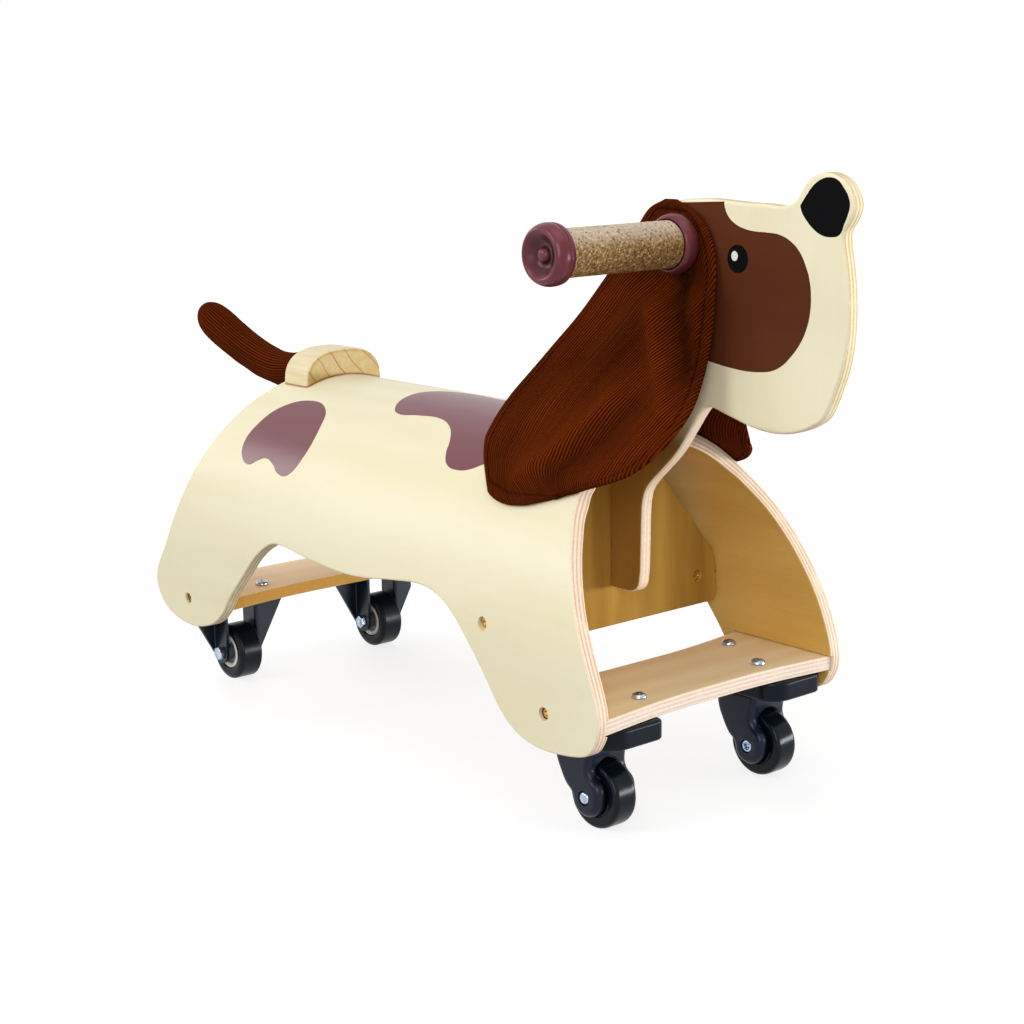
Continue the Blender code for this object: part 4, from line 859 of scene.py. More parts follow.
# Bent arch: drawn flat with its grooves and holes, then bent over an ellipse
arch = {
    "round": 1.3, "unroll": 123.8, "slotBack": 152.4, "slotHalf": 5.3, "flatAngle": 0.3,
    "bendEvery": 2.5, "stripEvery": 30.0, "strips": 9, "edgeReach": 25.0, "outlineSteps": 5,
    "line": [(190, 262), (191, 244), (199.5, 213), (212.7, 189), (230.8, 154), (246, 123), (255.4, 99.5),
             (258.4, 84), (255.6, 71), (246, 61), (222, 56.2), (198, 56), (178, 61.6), (162, 74),
             (148.6, 91), (129, 113.5), (112, 129), (94, 137.6), (73, 140.2), (42, 137), (10, 132.8),
             (-20, 132), (-62, 135), (-88, 138), (-106, 136.6), (-124, 125), (-142, 107), (-162.5, 86),
             (-176, 69), (-192, 57.6), (-216, 51.2), (-240, 51.8), (-259, 57.6), (-271.6, 68.6),
             (-275.4, 82), (-270.6, 95), (-257, 115), (-241, 147), (-229, 176), (-213, 212),
             (-204.5, 229.5), (-198.4, 239), (-195.4, 249), (-195, 262)],
    "grooves": [(167.7, 290.0, 74.6, 85.7), (-262.3, -182.7, 67.3, 78.2)], "grooveDeep": 3.0,
    "holes": [(207.4, 80.0), (146.4, 127.0), (-226.0, 72.7)], "sink": (4.5, 2.2), "way": 2.9,
}
archTall = archShape["top"] - archShape["spring"]


def unrolled(z, values):
    # place along the bent sheet, in millimetres from its crest
    over = min(1.0, max(0.0, (z - archShape["spring"] / mm) / (archTall / mm)))
    return values["unroll"] * math.acos(over) + max(0.0, archShape["spring"] / mm - z)


def archOutline(values):
    half = []
    count = (len(values["line"]) - 1) * values["outlineSteps"]
    for k in range(count + 1):
        spot = smoothLine(values["line"], k / count)
        if spot.y < archShape["top"] / mm:
            half.append((spot.x, unrolled(spot.y, values)))
    half[0] = (half[0][0], values["slotHalf"] * values["unroll"] / (archShape["halfWidth"] / mm))
    far = [(x, -q) for x, q in reversed(half)]
    slotQ = half[0][1]
    return half + far + [(values["slotBack"], -slotQ), (values["slotBack"], slotQ)]


def edgeAt(z, values, ahead):
    # the outline's x at a height above the spring line, on the front or the rear edge
    line = values["line"][:7] if ahead else values["line"][:-10:-1]
    for a, b in zip(line[:-1], line[1:]):
        if b[1] <= z <= a[1]:
            return b[0] + (a[0] - b[0]) * (z - b[1]) / (a[1] - b[1])
    return line[-1][0]


def cutArch(sheet, values):
    # grooves for the cross boards on the inner face, and counterbored holes for the side bolts
    ply = archShape["ply"]
    wide, deep = values["sink"]
    outer, past = ply / 2 / mm, 8.0
    for way in (1, -1):
        for back, front, low, high in values["grooves"]:
            q = [way * unrolled(v, values) for v in (high, low)]
            tool = cutBlock(((back + front) / 2 * mm, (q[0] + q[1]) / 2 * mm, -ply / 2),
                            ((front - back) * mm, abs(q[0] - q[1]) * mm, 2 * values["grooveDeep"] * mm))
            settle(tool)
            cutAway(sheet, tool)
        for x, z in values["holes"]:
            spot = Vector((x * mm, way * unrolled(z, values) * mm, 0))
            for radius, low, high in ((wide, outer - deep, past), (values["way"], -past, past)):
                tool = drill(radius, low, high, 32)
                settle(tool, move=spot)
                cutAway(sheet, tool)


def scoreArch(sheet, values):
    # edges across the sheet where it bends, and along it to keep the faces short
    pickOnly(sheet)
    bpy.ops.object.mode_set(mode="EDIT")
    turns = int(90 / values["bendEvery"])
    for k in range(-turns, turns + 1):
        bpy.ops.mesh.select_all(action="SELECT")
        q = math.radians(k * values["bendEvery"]) * values["unroll"] * mm
        bpy.ops.mesh.bisect(plane_co=(0, q, 0), plane_no=(0, 1, 0))
    for k in range(-values["strips"], values["strips"]):
        bpy.ops.mesh.select_all(action="SELECT")
        bpy.ops.mesh.bisect(plane_co=(k * values["stripEvery"] * mm, 0, 0), plane_no=(1, 0, 0))
    bpy.ops.object.mode_set(mode="OBJECT")


def makeArch(values):
    ply = archShape["ply"]
    outline = [(x * mm, q * mm, "c") for x, q in archOutline(values)]
    sheet = flatShape(outline, ply, values["round"] * mm, 1, 3)
    pickOnly(sheet)
    bpy.ops.object.mode_set(mode="EDIT")
    bpy.ops.mesh.select_all(action="SELECT")
    bpy.ops.mesh.dissolve_limited(angle_limit=math.radians(values["flatAngle"]))
    bpy.ops.object.mode_set(mode="OBJECT")
    cutArch(sheet, values)
    scoreArch(sheet, values)
    depths = []
    wide, spring, tall = archShape["halfWidth"], archShape["spring"], archTall
    for vert in sheet.data.vertices:
        x, q, depth = vert.co.x, vert.co.y, ply / 2 - vert.co.z
        depths.append(min(1.0, max(0.0, depth / ply)))
        turn = min(math.pi / 2, abs(q) / mm / values["unroll"])
        below = max(0.0, abs(q) - math.pi / 2 * values["unroll"] * mm)
        away = Vector((0, math.sin(turn) / wide, math.cos(turn) / tall)).normalized()
        outer = Vector((x, wide * math.sin(turn), spring + tall * math.cos(turn) - below))
        spot = outer - away * depth
        # both edges are cut straight across, so the inner side follows the outline at its own height
        if outer.z > spring:
            ahead = x > 0
            edge = edgeAt(outer.z / mm, values, ahead)
            near = max(0.0, 1.0 - abs(x / mm - edge) / values["edgeReach"])
            spot.x += near * (edgeAt(max(spot.z, spring) / mm, values, ahead) - edge) * mm
        vert.co = (spot.x + shift, -spot.y if q > 0 else spot.y, spot.z)
    layer = sheet.data.attributes.new("plyDepth", "FLOAT", "POINT")
    layer.data.foreach_set("value", depths)
    cleanFaces(sheet)
    evenNormals(sheet, 40)
    return sheet


dress(makeArch(arch), "bent_arch", archPly, "body", ["body_shell"])
print("arch bent")


# Flat boards: outlines in drawn millimetres, edges rounded
boards = {
    "head": [(219, 398.4), (290, 398.6), (311, 399), (317.6, 403.6), (321.4, 409), (326, 414), (332, 417.2),
             (340, 418.5), (348, 416.8), (354.4, 413.2), (359, 407.2), (361.4, 400.4), (360.6, 395.6),
             (357.4, 389.6), (354, 384.6), (353.8, 377), (355.4, 369), (358, 351), (358.7, 334),
             (357.4, 316.6), (354.6, 303.4), (349.4, 289.4), (344.6, 278.8), (340, 271.8), (333.5, 267.3),
             (322, 262.3), (309, 259.3), (296, 258.8), (282, 260.4), (268, 263.8), (257.7, 266.4),
             (251.4, 268.2), (246.4, 269.1), (243.2, 268.5), (240.2, 266.1), (237.2, 262.7), (229.4, 252),
             (217.1, 235.5), (202.9, 221.6), (194, 213.4), (188.2, 206.2), (185.6, 198.6), (184.8, 189.8),
             (183.8, 160), (182.9, 146), (180.6, 138.4), (175.5, 135), (169, 134.2), (160, 134.1),
             (152.9, 134.3, "c"), (152.7, 252, "c"), (156, 262), (164, 276), (175, 296), (183.5, 320),
             (187.5, 350), (190.5, 372), (196.5, 385), (206, 394.5)],
    "headThick": 10.0, "headRound": 2.2, "boreAt": (223.5, 371.7), "bore": 8.3,
    "bulkhead": [(96.5, 106, "c"), (99, 108.5), (99.2, 124, "c"), (98.8, 134, "c"), (97.4, 140.6),
                 (93.4, 146.6, "c"), (22, 235, "c"), (19.6, 237)],
    "bulkheadRound": 0.8, "nutHole": (80.5, 127.0, 4.4),
    # each long edge is hollowed: at this share of the half width, to this share of the full depth
    "crossHalf": 105.8, "crossRound": 1.0, "hollowAt": 0.42, "hollowShare": 0.9,
}


def placed(points):
    return [tuple(c * mm for c in p[:2]) + tuple(p[2:]) for p in points]


def makeHead(values):
    head = flatShape(placed(values["head"]), values["headThick"] * mm, values["headRound"] * mm, 10, 4)
    settle(head, (90, 0, 0), (shift, 0, 0))
    tool = drill(values["bore"], -20, 20, 48)
    alongY(tool, -1, *values["boreAt"])
    cutAway(head, tool)
    cleanFaces(head)
    evenNormals(head, 40)
    return head


def makeBulkhead(values):
    right = values["bulkhead"]
    outline = right + [(-p[0],) + tuple(p[1:]) for p in reversed(right)]
    low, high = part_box("bulkhead")
    board = flatShape(placed(outline), high.x - low.x, values["bulkheadRound"] * mm, 8, 2)
    settle(board, (90, 0, 0))
    settle(board, (0, 0, 90), ((low.x + high.x) / 2, 0, 0))
    y, z, radius = values["nutHole"]
    for side in (-1, 1):
        tool = drill(radius, -9, 30, 32)
        settle(tool, (0, 90, 0), (high.x, side * y * mm, z * mm))
        cutAway(board, tool)
    cleanFaces(board)
    evenNormals(board, 40)
    return board


def makeCrossBoard(node, hollowBack, hollowFront, values):
    low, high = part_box(node)
    half, y, share = values["crossHalf"], values["crossHalf"] * values["hollowAt"], values["hollowShare"]
    b, f = (low.x - shift) / mm, (high.x - shift) / mm
    outline = [(b, -half, "c"), (f, -half, "c"), (f - share * hollowFront, -y), (f - hollowFront, 0.0),
               (f - share * hollowFront, y), (f, half, "c"), (b, half, "c"), (b + share * hollowBack, y),
               (b + hollowBack, 0.0), (b + share * hollowBack, -y)]
    board = flatShape(placed(outline), high.z - low.z, values["crossRound"] * mm, 14, 3)
    settle(board, (0, 0, 0), (shift, 0, (low.z + high.z) / 2))
    cleanFaces(board)
    evenNormals(board, 40)
    return board


dress(makeHead(boards), "head_and_neck", headPly, "body", ["head_board"])
dress(makeBulkhead(boards), "bulkhead_panel", bulkheadPly, "body", ["bulkhead"])
dress(makeCrossBoard("front_board", 7.5, 7.5, boards), "footboard", frontPly, "body", ["front_board"])
dress(makeCrossBoard("rear_board", 3.75, 8.25, boards), "rear_crossboard", rearPly, "body", ["rear_board"])
print("boards cut")


# Pine block, hollowed to sit on the arch
block = {
    "edge": [(35.9, 220, "c"), (35.9, 247.4), (35.0, 252.2), (32.3, 257.8), (27.6, 262.6), (21.5, 266),
             (12, 268.3), (0, 269)],
    "round": 3.2, "gap": 0.3,
}


def makeBlock(values):
    right = values["edge"]
    outline = right + [(-p[0],) + tuple(p[1:]) for p in reversed(right[:-1])]
    low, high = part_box("back_block")
    body = flatShape(placed(outline), high.x - low.x, values["round"] * mm, 10, 5)
    settle(body, (90, 0, 0))
    settle(body, (0, 0, 90), ((low.x + high.x) / 2, 0, 0))
    bpy.ops.object.select_all(action="DESELECT")
    bpy.ops.mesh.primitive_cylinder_add(vertices=240, radius=1, depth=90 * mm, rotation=(0, math.pi / 2, 0),
                                        location=((low.x + high.x) / 2, 0, archShape["spring"]))
    tool = bpy.context.active_object
    gap = values["gap"] * mm
    tool.scale = (archTall + gap, archShape["halfWidth"] + gap, 1)
    settle(tool, [0, 90, 0])
    cutAway(body, tool)
    cleanFaces(body)
    evenNormals(body, 35)
    return body


dress(makeBlock(block), "backrest_block", pineBlock, "body", ["back_block"])
print("block hollowed")


# Handlebar: cork grips, dished end caps and collars, turned about the bar
handle = {
    "at": (223.5, 371.7),
    "grip": [(8.3, 19.5), (15.0, 19.5, 0.8), (15.0, 112.2, 0.6), (8.3, 112.2)],
    "cap": [(0.05, 117.2), (8.3, 117.2), (8.3, 112.3), (16.7, 112.3, 0.6), (18.7, 113.2, 1.0),
            (19.3, 116.4, 0.5), (18.5, 116.9, 0.3), (18.5, 117.3, 0.3), (19.2, 117.8, 0.5),
            (19.4, 120.6, 2.0), (17.9, 124.9, 2.4), (15.4, 127.0, 2.4), (12.6, 125.4, 3.0),
            (8.2, 121.4, 3.0), (5.6, 120.8, 1.2), (4.7, 123.0, 1.6), (3.0, 125.3, 1.6), (0.05, 125.6)],
    "collar": [(8.3, 9.1), (17.2, 9.1, 1.2), (19.3, 12.0, 2.4), (19.4, 15.6, 2.4), (18.2, 19.4, 2.0),
               (16.6, 20.9, 0.9), (15.5, 19.8, 0.6), (15.4, 15.2, 0.3), (8.3, 15.2)],
}
for side, hand in ((-1, "right"), (1, "left")):
    for label, material, slot in (("grip", cork, "cork"), ("cap", mauvePlastic, "purple_brown_plastic"),
                                  ("collar", mauvePlastic, "purple_brown_plastic")):
        profile = [(r * mm, h * mm) for r, h in roundCorners(handle[label], 4)]
        body = turnOnLathe(profile, 96, ring=label != "cap")
        alongY(body, side, *handle["at"])
        evenNormals(body, 50)
        stands = "grip_" + hand if label == "grip" else "grip_" + label + "_" + hand
        dress(body, "handle_" + label + "_" + hand, material, "body", [stands])
print("handle turned")


# Patches printed on the bent back: places on the arch are drawn flat by their turn from the crest
def turnOnArch(y, z):
    return math.degrees(math.atan2(-y / archShape["halfWidth"], (z - archShape["spring"]) / archTall))


backPatches = {
    "gap": -0.06 * mm, "film": 0.14 * mm, "cell": 2.6 * mm, "degree": 2.1 * mm, "sheet": 1 * mm,
    "rear": [(-137.8, -48.4, 235.1), (-111.6, -52.9, 232.3), (-99.1, -65.7, 223), (-96.2, -88.1, 197.7),
             (-105.1, -94.6, 187.2), (-117.9, -94.5, 187.4), (-127.2, -91.8, 192), (-140.8, -89.9, 195),
             (-149.3, -91.8, 192), (-157.6, -93.9, 188.4), (-170.3, -91.7, 192.3), (-176.9, -85.8, 201.2),
             (-174.5, -74.3, 214.8), (-161.4, -57.6, 229.2)],
    "front": [(-40.1, -40.3, 239.1), (-48.4, -22.6, 245.2), (-40.8, -3.2, 247.9), (-13, 10.3, 247.4),
              (30.3, 7.6, 247.7), (66, 16, 246.4), (104, 10, 247.3), (132, -8, 247.5), (141, -34, 241),
              (128, -58, 228.5), (96, -69.2, 219.8), (88.7, -72.7, 216.4), (76.8, -74.9, 214.2),
              (63, -73.4, 215.8), (54.3, -67.5, 221.4), (47.3, -58.2, 228.7), (34.3, -47.8, 235.3),
              (13.9, -41.3, 238.7), (-9.6, -42.5, 238), (-29.4, -44.7, 237)],
}


def printOnArch(name, drawn, values):
    scale = values["degree"]
    points = [(x * mm + shift, turnOnArch(y * mm, z * mm) * scale) for x, y, z in drawn]
    prism = flatShape(points, 8 * mm, detail=10)
    corners = [v.co for v in prism.data.vertices]
    low = Vector((min(c.x for c in corners), min(c.y for c in corners)))
    high = Vector((max(c.x for c in corners), max(c.y for c in corners)))
    cell = values["cell"]
    size = high - low + Vector((6 * cell, 6 * cell))
    mid = (low + high) / 2
    bpy.ops.object.select_all(action="DESELECT")
    bpy.ops.mesh.primitive_grid_add(x_subdivisions=int(size.x / cell), y_subdivisions=int(size.y / cell),
                                    size=1, location=(mid.x, mid.y, 0))
    sheet = bpy.context.active_object
    sheet.scale = (size.x, size.y, 1)
    bpy.ops.object.transform_apply(location=True, rotation=True, scale=True)
    bpy.ops.object.mode_set(mode="EDIT")
    bpy.ops.mesh.select_all(action="SELECT")
    bpy.ops.mesh.extrude_region_move(TRANSFORM_OT_translate={"value": (0, 0, values["sheet"])})
    bpy.ops.mesh.select_all(action="SELECT")
    bpy.ops.mesh.normals_make_consistent(inside=False)
    bpy.ops.object.mode_set(mode="OBJECT")
    cutAway(sheet, prism, "INTERSECT")
    wide, spring = archShape["halfWidth"], archShape["spring"]
    for vert in sheet.data.vertices:
        turn = math.radians(vert.co.y / scale)
        lift = values["gap"] + (values["film"] if vert.co.z > values["sheet"] / 2 else 0.0)
        away = Vector((0, -math.sin(turn) / wide, math.cos(turn) / archTall)).normalized()
        place = Vector((vert.co.x, -wide * math.sin(turn), spring + archTall * math.cos(turn)))
        vert.co = place + away * lift
    cleanFaces(sheet)
    smooth(sheet, 50)
    return dress(sheet, name, mauvePrint, "body")


rearPatch = printOnArch("patch_rear_right", backPatches["rear"], backPatches)
dress(twin(rearPatch, flip=True), "patch_rear_left", mauvePrint, "body")
printOnArch("patch_saddle", backPatches["front"], backPatches)
print("back patches printed")


# Face: outlines on the flat sides of the head, in drawn millimetres
face = {
    "half": 5.0 * mm, "film": 0.07 * mm, "levelStep": 0.8,
    "cheek": [(257.9, 398.8, "c"), (258.8, 394.7), (262.3, 389.2), (267.7, 385.5), (275.5, 382.9),
              (283.1, 381.8), (293.7, 381.5), (304.1, 380.6), (313, 377.2), (320.5, 371), (325, 363.7),
              (328.4, 355.2), (329.8, 345.4), (329.3, 335.5), (326.6, 325.4), (321.7, 316.2),
              (314.5, 307.7), (307.2, 301.4), (299.8, 297.8), (290.7, 296.1), (278.4, 295.4),
              (265.8, 296.1), (254.7, 297.3), (243.4, 299.2), (232, 303), (221, 314), (215, 332),
              (213, 356), (213, 380), (214, 396.6, "c")],
    "nose": [(320.1, 398.6, "c"), (324.8, 404.7), (329.6, 410.2), (335.9, 414.3), (342.2, 415.7),
             (348.5, 414.5), (353.5, 409.9), (357.1, 404.7), (358.2, 400.0), (356.7, 394.2), (354.1, 388.8),
             (350.8, 382.8), (344.5, 381.1), (336.7, 382.1), (330.2, 385.6), (325.1, 390.2),
             (321.4, 394.9)],
    "eye": (269.9, 364.2, 8.7, 8.7), "shine": (267.3, 365.9, 2.7, 3.05),
}


def printOnHead(name, points, material, side, level, values):
    # level 0 is on the wood, and each level up lies on the one below
    outline = [(p[0] * mm + shift, p[1] * mm) + tuple(p[2:]) for p in points]
    film = flatShape(outline, 2 * values["film"], detail=12)
    settle(film, (90, 0, 0), (0, side * (values["half"] + level * values["film"] * values["levelStep"]), 0))
    cleanFaces(film)
    smooth(film, 30)
    return dress(film, name, material, "body")


def oval(values):
    x, z, a, b = values
    turns = [math.radians(t) for t in range(0, 360, 30)]
    return [(x + a * math.cos(t), z + b * math.sin(t)) for t in turns]


for side, hand in ((-1, "right"), (1, "left")):
    printOnHead("cheek_patch_" + hand, face["cheek"], brownPrint, side, 0, face)
    printOnHead("nose_patch_" + hand, face["nose"], blackPrint, side, 0, face)
    printOnHead("eye_" + hand, oval(face["eye"]), blackPrint, side, 1, face)
    printOnHead("eye_shine_" + hand, oval(face["shine"]), whitePrint, side, 2, face)
print("face printed")


# Ears: doubled corduroy sewn round the edge, hung on the handle
ears = {
    "handle": (223.5, 371.7), "hole": 9.5, "clamp": 7.3, "clampReach": (22.0, 26.0), "lift": 2.4,
    "half": 1.5, "roll": 2.2, "rows": 130, "inner": 72,
    "stitchIn": 7.2, "stitchHalf": 0.8, "stitchEvery": 5.2, "stitchPucker": 0.3, "grooveDeep": 0.7,
    "hem": 0.55, "hemIn": 4.0, "hemHalf": 2.0, "belly": 5.0, "ripple": 1.1, "rippleScale": 0.035,
    "rear": [(209, 8.2, 399), (193, 8.8, 390.5), (178, 13.5, 367), (165, 17, 348.7), (144.5, 22, 322.8),
             (123.4, 26, 301.4), (104, 31, 281), (89, 38, 262.4), (83, 50, 243), (88, 60.5, 230),
             (121, 84.5, 207)],
    "front": [(219, 8.2, 399), (240, 8.4, 388.5), (252, 9.2, 370.7), (257.6, 12, 340), (259, 16.5, 313),
              (258, 22, 291), (256.6, 31.5, 270), (247, 44, 249), (233, 60, 231.5), (207, 73.5, 220.5),
              (178.3, 81.3, 210.9)],
    "droop": (0.0, 4.5, -6.5), "droopFrom": 0.72,
    # folds are (how far out, half width, places (x, z) along the fold)
    "folds": [(-5.0, 7.0, [(226, 354), (234, 326), (244, 294)]),
              (4.4, 6.5, [(213, 330), (222, 298), (236, 268)]), (2.4, 4.5, [(240, 343), (251, 316)]),
              (2.2, 7.0, [(166, 333), (146, 313), (129, 294)]),
              (-1.6, 6.0, [(184, 330), (166, 306), (148, 288)]),
              (4.6, 8.5, [(188, 268), (162, 243), (140, 224)]),
              (-4.2, 9.0, [(210, 266), (188, 241), (170, 222)]), (2.2, 8.0, [(226, 246), (206, 230)]),
              (-2.0, 8.0, [(150, 262), (128, 244), (112, 232)])],
    # painted shades only change how the nap looks: light and shade painted into its colour
    "paintedShades": [(-3.5, 16.0, [(232, 350), (240, 320), (244, 290)]), (3.0, 16.0, [(180, 340), (160, 316)]),
               (2.5, 12.0, [(140, 262), (120, 246)]), (-2.5, 12.0, [(200, 300), (182, 286), (168, 272)]),
               (-2.0, 16.0, [(198, 330), (190, 305)])],
    "edgeSteps": (0.0, 0.12, 0.4, 0.8, 1.3, 1.9, 2.6, 3.6, 4.8, 5.8, 6.5, 7.0, 7.4, 7.9, 8.7, 9.9),
}


def offTheArch(spot, lift):
    low = archShape["spring"] / mm
    if spot.z < low:
        return spot
    wide, tall = archShape["halfWidth"] / mm + lift, archTall / mm + lift
    reach = math.hypot(spot.y / wide, (spot.z - low) / tall)
    if reach >= 1.0:
        return spot
    return Vector((spot.x, spot.y / reach, low + (spot.z - low) / reach))


def foldsAt(x, z, folds):
    total = 0.0
    for high, wide, path in folds:
        near = 1e9
        for a, b in zip(path[:-1], path[1:]):
            dx, dz = b[0] - a[0], b[1] - a[1]
            t = max(0.0, min(1.0, ((x - a[0]) * dx + (z - a[1]) * dz) / (dx * dx + dz * dz)))
            near = min(near, math.hypot(x - a[0] - t * dx, z - a[1] - t * dz))
        total += high * math.exp(-(near / wide) ** 2)
    return total


def earPoint(values, share, across):
    # a place on the middle of the cloth: share runs down the ear, across from its rear edge to its front
    rear = smoothLine(values["rear"], share)
    fore = smoothLine(values["front"], share)
    spot = rear.lerp(fore, across)
    belly = max(0.0, math.sin(math.pi * across))
    spot.y += values["belly"] * belly * math.sin(math.pi * min(1.0, share * 1.25))
    spot.y += foldsAt(spot.x, spot.z, values["folds"]) * belly ** 0.35
    scale = values["rippleScale"]
    spot.y += values["ripple"] * noise.noise(Vector((spot.x * scale, spot.z * scale, 4.0))) * belly
    start = values["droopFrom"]
    if share > start:
        spot += Vector(values["droop"]) * ((share - start) / (1.0 - start)) ** 1.5 * belly ** 0.75
    # flat where the handle clamps it, free further out
    away = math.hypot(spot.x - values["handle"][0], spot.z - values["handle"][1])
    flat, reach = values["clampReach"]
    free = min(1.0, max(0.0, (away - flat) / reach))
    spot.y = values["clamp"] + (spot.y - values["clamp"]) * free * free * (3.0 - 2.0 * free)
    return offTheArch(spot, values["lift"])


def stepsAlong(length, inner, edge):
    # places across a width: close together at the rolled edges, even between
    reach = edge[-1]
    scale = min(1.0, length / (2.6 * reach))
    near = [e * scale for e in edge]
    span = length - 2 * near[-1]
    middle = [near[-1] + span * (k + 1) / (inner + 1) for k in range(inner)]
    return near + middle + [length - e for e in reversed(near)]


def earGrid(values):
    # rows of places on the middle of the cloth, each with its UV and how far in from the edges it is
    steps, probes, tiny = 60, 24, 1e-9
    middles = [(smoothLine(values["rear"], r / steps) + smoothLine(values["front"], r / steps)) / 2
               for r in range(steps + 1)]
    travel = [0.0]
    for a, b in zip(middles[:-1], middles[1:]):
        travel.append(travel[-1] + (b - a).length)
    length = travel[-1]

    def shareAt(place):
        for k in range(steps):
            if place <= travel[k + 1] + tiny:
                return (k + (place - travel[k]) / max(tiny, travel[k + 1] - travel[k])) / steps
        return 1.0

    grid, flat, depths = [], [], []
    for place in stepsAlong(length, values["rows"], values["edgeSteps"]):
        share = shareAt(place)
        probe = [earPoint(values, share, c / probes) for c in range(probes + 1)]
        width = sum((b - a).length for a, b in zip(probe[:-1], probe[1:]))
        columns = stepsAlong(width, values["inner"], values["edgeSteps"])
        line, uvs, ins, across = [], [], [], 0.0
        for spot in columns:
            line.append(earPoint(values, share, spot / width))
            if len(line) > 1:
                across += math.hypot(line[-1].x - line[-2].x, line[-1].z - line[-2].z)
            uvs.append((across * mm, place * mm))
            ins.append((min(spot, width - spot), min(place, length - place)))
        grid.append(line)
        flat.append(uvs)
        depths.append(ins)
    return grid, flat, depths


def stitchGroove(values, inset):
    return math.exp(-((inset - values["stitchIn"]) / values["stitchHalf"]) ** 2)


def earHalf(values, inset, along):
    # half the doubled cloth's thickness: rolled at the edge, padded in the hem, drawn in at the stitches
    if inset <= 0:
        return 0.0
    rolled = 1.0 - min(1.0, inset / values["roll"])
    half = values["half"] * math.sqrt(max(0.0, 1.0 - rolled * rolled))
    pucker = 1.0 + values["stitchPucker"] * math.sin(along / mm * 2 * math.pi / values["stitchEvery"])
    half -= values["grooveDeep"] * stitchGroove(values, inset) * pucker * min(1.0, half)
    return half + values["hem"] * math.exp(-((inset - values["hemIn"]) / values["hemHalf"]) ** 2)


def makeEar(name, values):
    grid, flat, depths = earGrid(values)
    count = len(grid[0])
    work = bmesh.new()
    uvLayer = work.loops.layers.uv.new("cloth")
    shadeLayer = work.verts.layers.float.new("paintedFoldShade")
    sheets = []
    for way in (1, -1):
        rows = []
        for r in range(len(grid)):
            row = []
            for c in range(count):
                left = grid[r][max(c - 1, 0)]
                right = grid[r][min(c + 1, count - 1)]
                below = grid[max(r - 1, 0)][c]
                above = grid[min(r + 1, len(grid) - 1)][c]
                normal = (right - left).cross(above - below).normalized()
                if normal.y < 0:
                    normal = -normal
                a, b = depths[r][c]
                inset = min(a, b)
                place = grid[r][c]
                spot = place + normal * earHalf(values, inset, flat[r][c][1 if a < b else 0]) * way
                vert = work.verts.new((spot.x * mm + shift, -spot.y * mm, spot.z * mm))
                # painted light and shade for the nap: from the folds and painted shades, darker in the stitch
                # groove
                lift = foldsAt(place.x, place.z, values["folds"] + values["paintedShades"]) / 5.0
                vert[shadeLayer] = lift - 1.2 * stitchGroove(values, inset)
                row.append(vert)
            rows.append(row)
        sheets.append(rows)
    for way, rows in zip((1, -1), sheets):
        for r in range(len(rows) - 1):
            for c in range(count - 1):
                corners = [(r, c), (r, c + 1), (r + 1, c + 1), (r + 1, c)]
                if way < 0:
                    corners.reverse()
                made = work.faces.new([rows[i][j] for i, j in corners])
                for loop, (i, j) in zip(made.loops, corners):
                    loop[uvLayer].uv = flat[i][j]
    bmesh.ops.remove_doubles(work, verts=work.verts, dist=1e-6)
    bmesh.ops.recalc_face_normals(work, faces=work.faces)
    mesh = bpy.data.meshes.new(name)
    work.to_mesh(mesh)
    work.free()
    return linked(name, mesh)


# the far ear hangs a little lower at the top, and its front edge turns back sooner
farEar = dict(ears)
farEar["rear"] = [(209, 8.2, 396.4)] + ears["rear"][1:]
farEar["front"] = [(219, 8.2, 396.6)] + ears["front"][1:5] + [
    (255.5, 22, 291), (247, 30.5, 270), (236, 40, 252), (230.5, 50, 237), (221, 61, 226), (205, 71.5, 219),
    (176, 79.5, 212.4)]
for hand, values in (("right", ears), ("left", farEar)):
    ear = makeEar("ear_cloth_" + hand, values)
    if hand == "left":
        ear.scale.y = -1
        settle(ear)
        cleanFaces(ear)
    tool = drill(values["hole"], -60, 60)
    alongY(tool, -1, *values["handle"])
    cutAway(ear, tool)
    pickOnly(ear)
    bpy.ops.object.shade_smooth()
    dress(ear, "ear_cloth_" + hand, corduroy, "body", ["ear_" + hand])
print("ears sewn")


# Tail: stuffed corduroy tube on the block's dowel
tail = {
    "from": (-193.0, 257.8), "around": 192, "along": 180, "girth": 40, "pitch": 2.3, "narrow": 0.98,
    "tight": 0.985, "lump": 0.6, "lumpScale": 0.05, "wale": 0.3, "tip": 0.6,
    "line": [(-0.6, 0, 8), (-5, 0, 8.6), (-11, -2.6, 10.6), (-19, -7.6, 12.6), (-31, -11.6, 13.8),
             (-45, -13.8, 14.4), (-59, -13.6, 14.6), (-79, -10.2, 14.6), (-98, -5, 14.6), (-115, 0.8, 14.8),
             (-131, 6.6, 15.2), (-145, 12.4, 15.4), (-156, 17.4, 14.8), (-164.6, 21.6, 12.8), (-171, 25, 9),
             (-174.4, 26.8, 4.6)],
    # dents are (x behind the block, turn round the tail, depth, half length, half turn)
    "dents": [(-60, 236, 2.2, 11, 13), (-46, 226, 1.2, 9, 12), (-82, 214, 1.3, 26, 9),
              (-70, 264, 1.0, 14, 12), (-30, 150, 0.9, 8, 30), (-112, 196, 0.7, 14, 12)],
}


def tailRadius(values, spot, j):
    # the drawn radius, with its dents, its lumps of filling and the wales of the cloth
    turn = 2 * math.pi * j / values["around"]
    radius = spot.z * values["tight"]
    for at, where, deep, reach, wide in values["dents"]:
        off = (math.degrees(turn) - where + 180) % 360 - 180
        radius -= deep * math.exp(-((spot.x - at) / reach) ** 2 - (off / wide) ** 2)
    around = Vector((spot.x * values["lumpScale"], math.cos(turn) * 0.9, math.sin(turn) * 0.9 + 5))
    radius += values["lump"] * noise.noise(around) * min(1.0, spot.z / 12)
    wale = abs(math.sin(math.pi * j * values["girth"] / values["around"])) ** 0.7
    return radius + values["wale"] * (wale - 0.6)


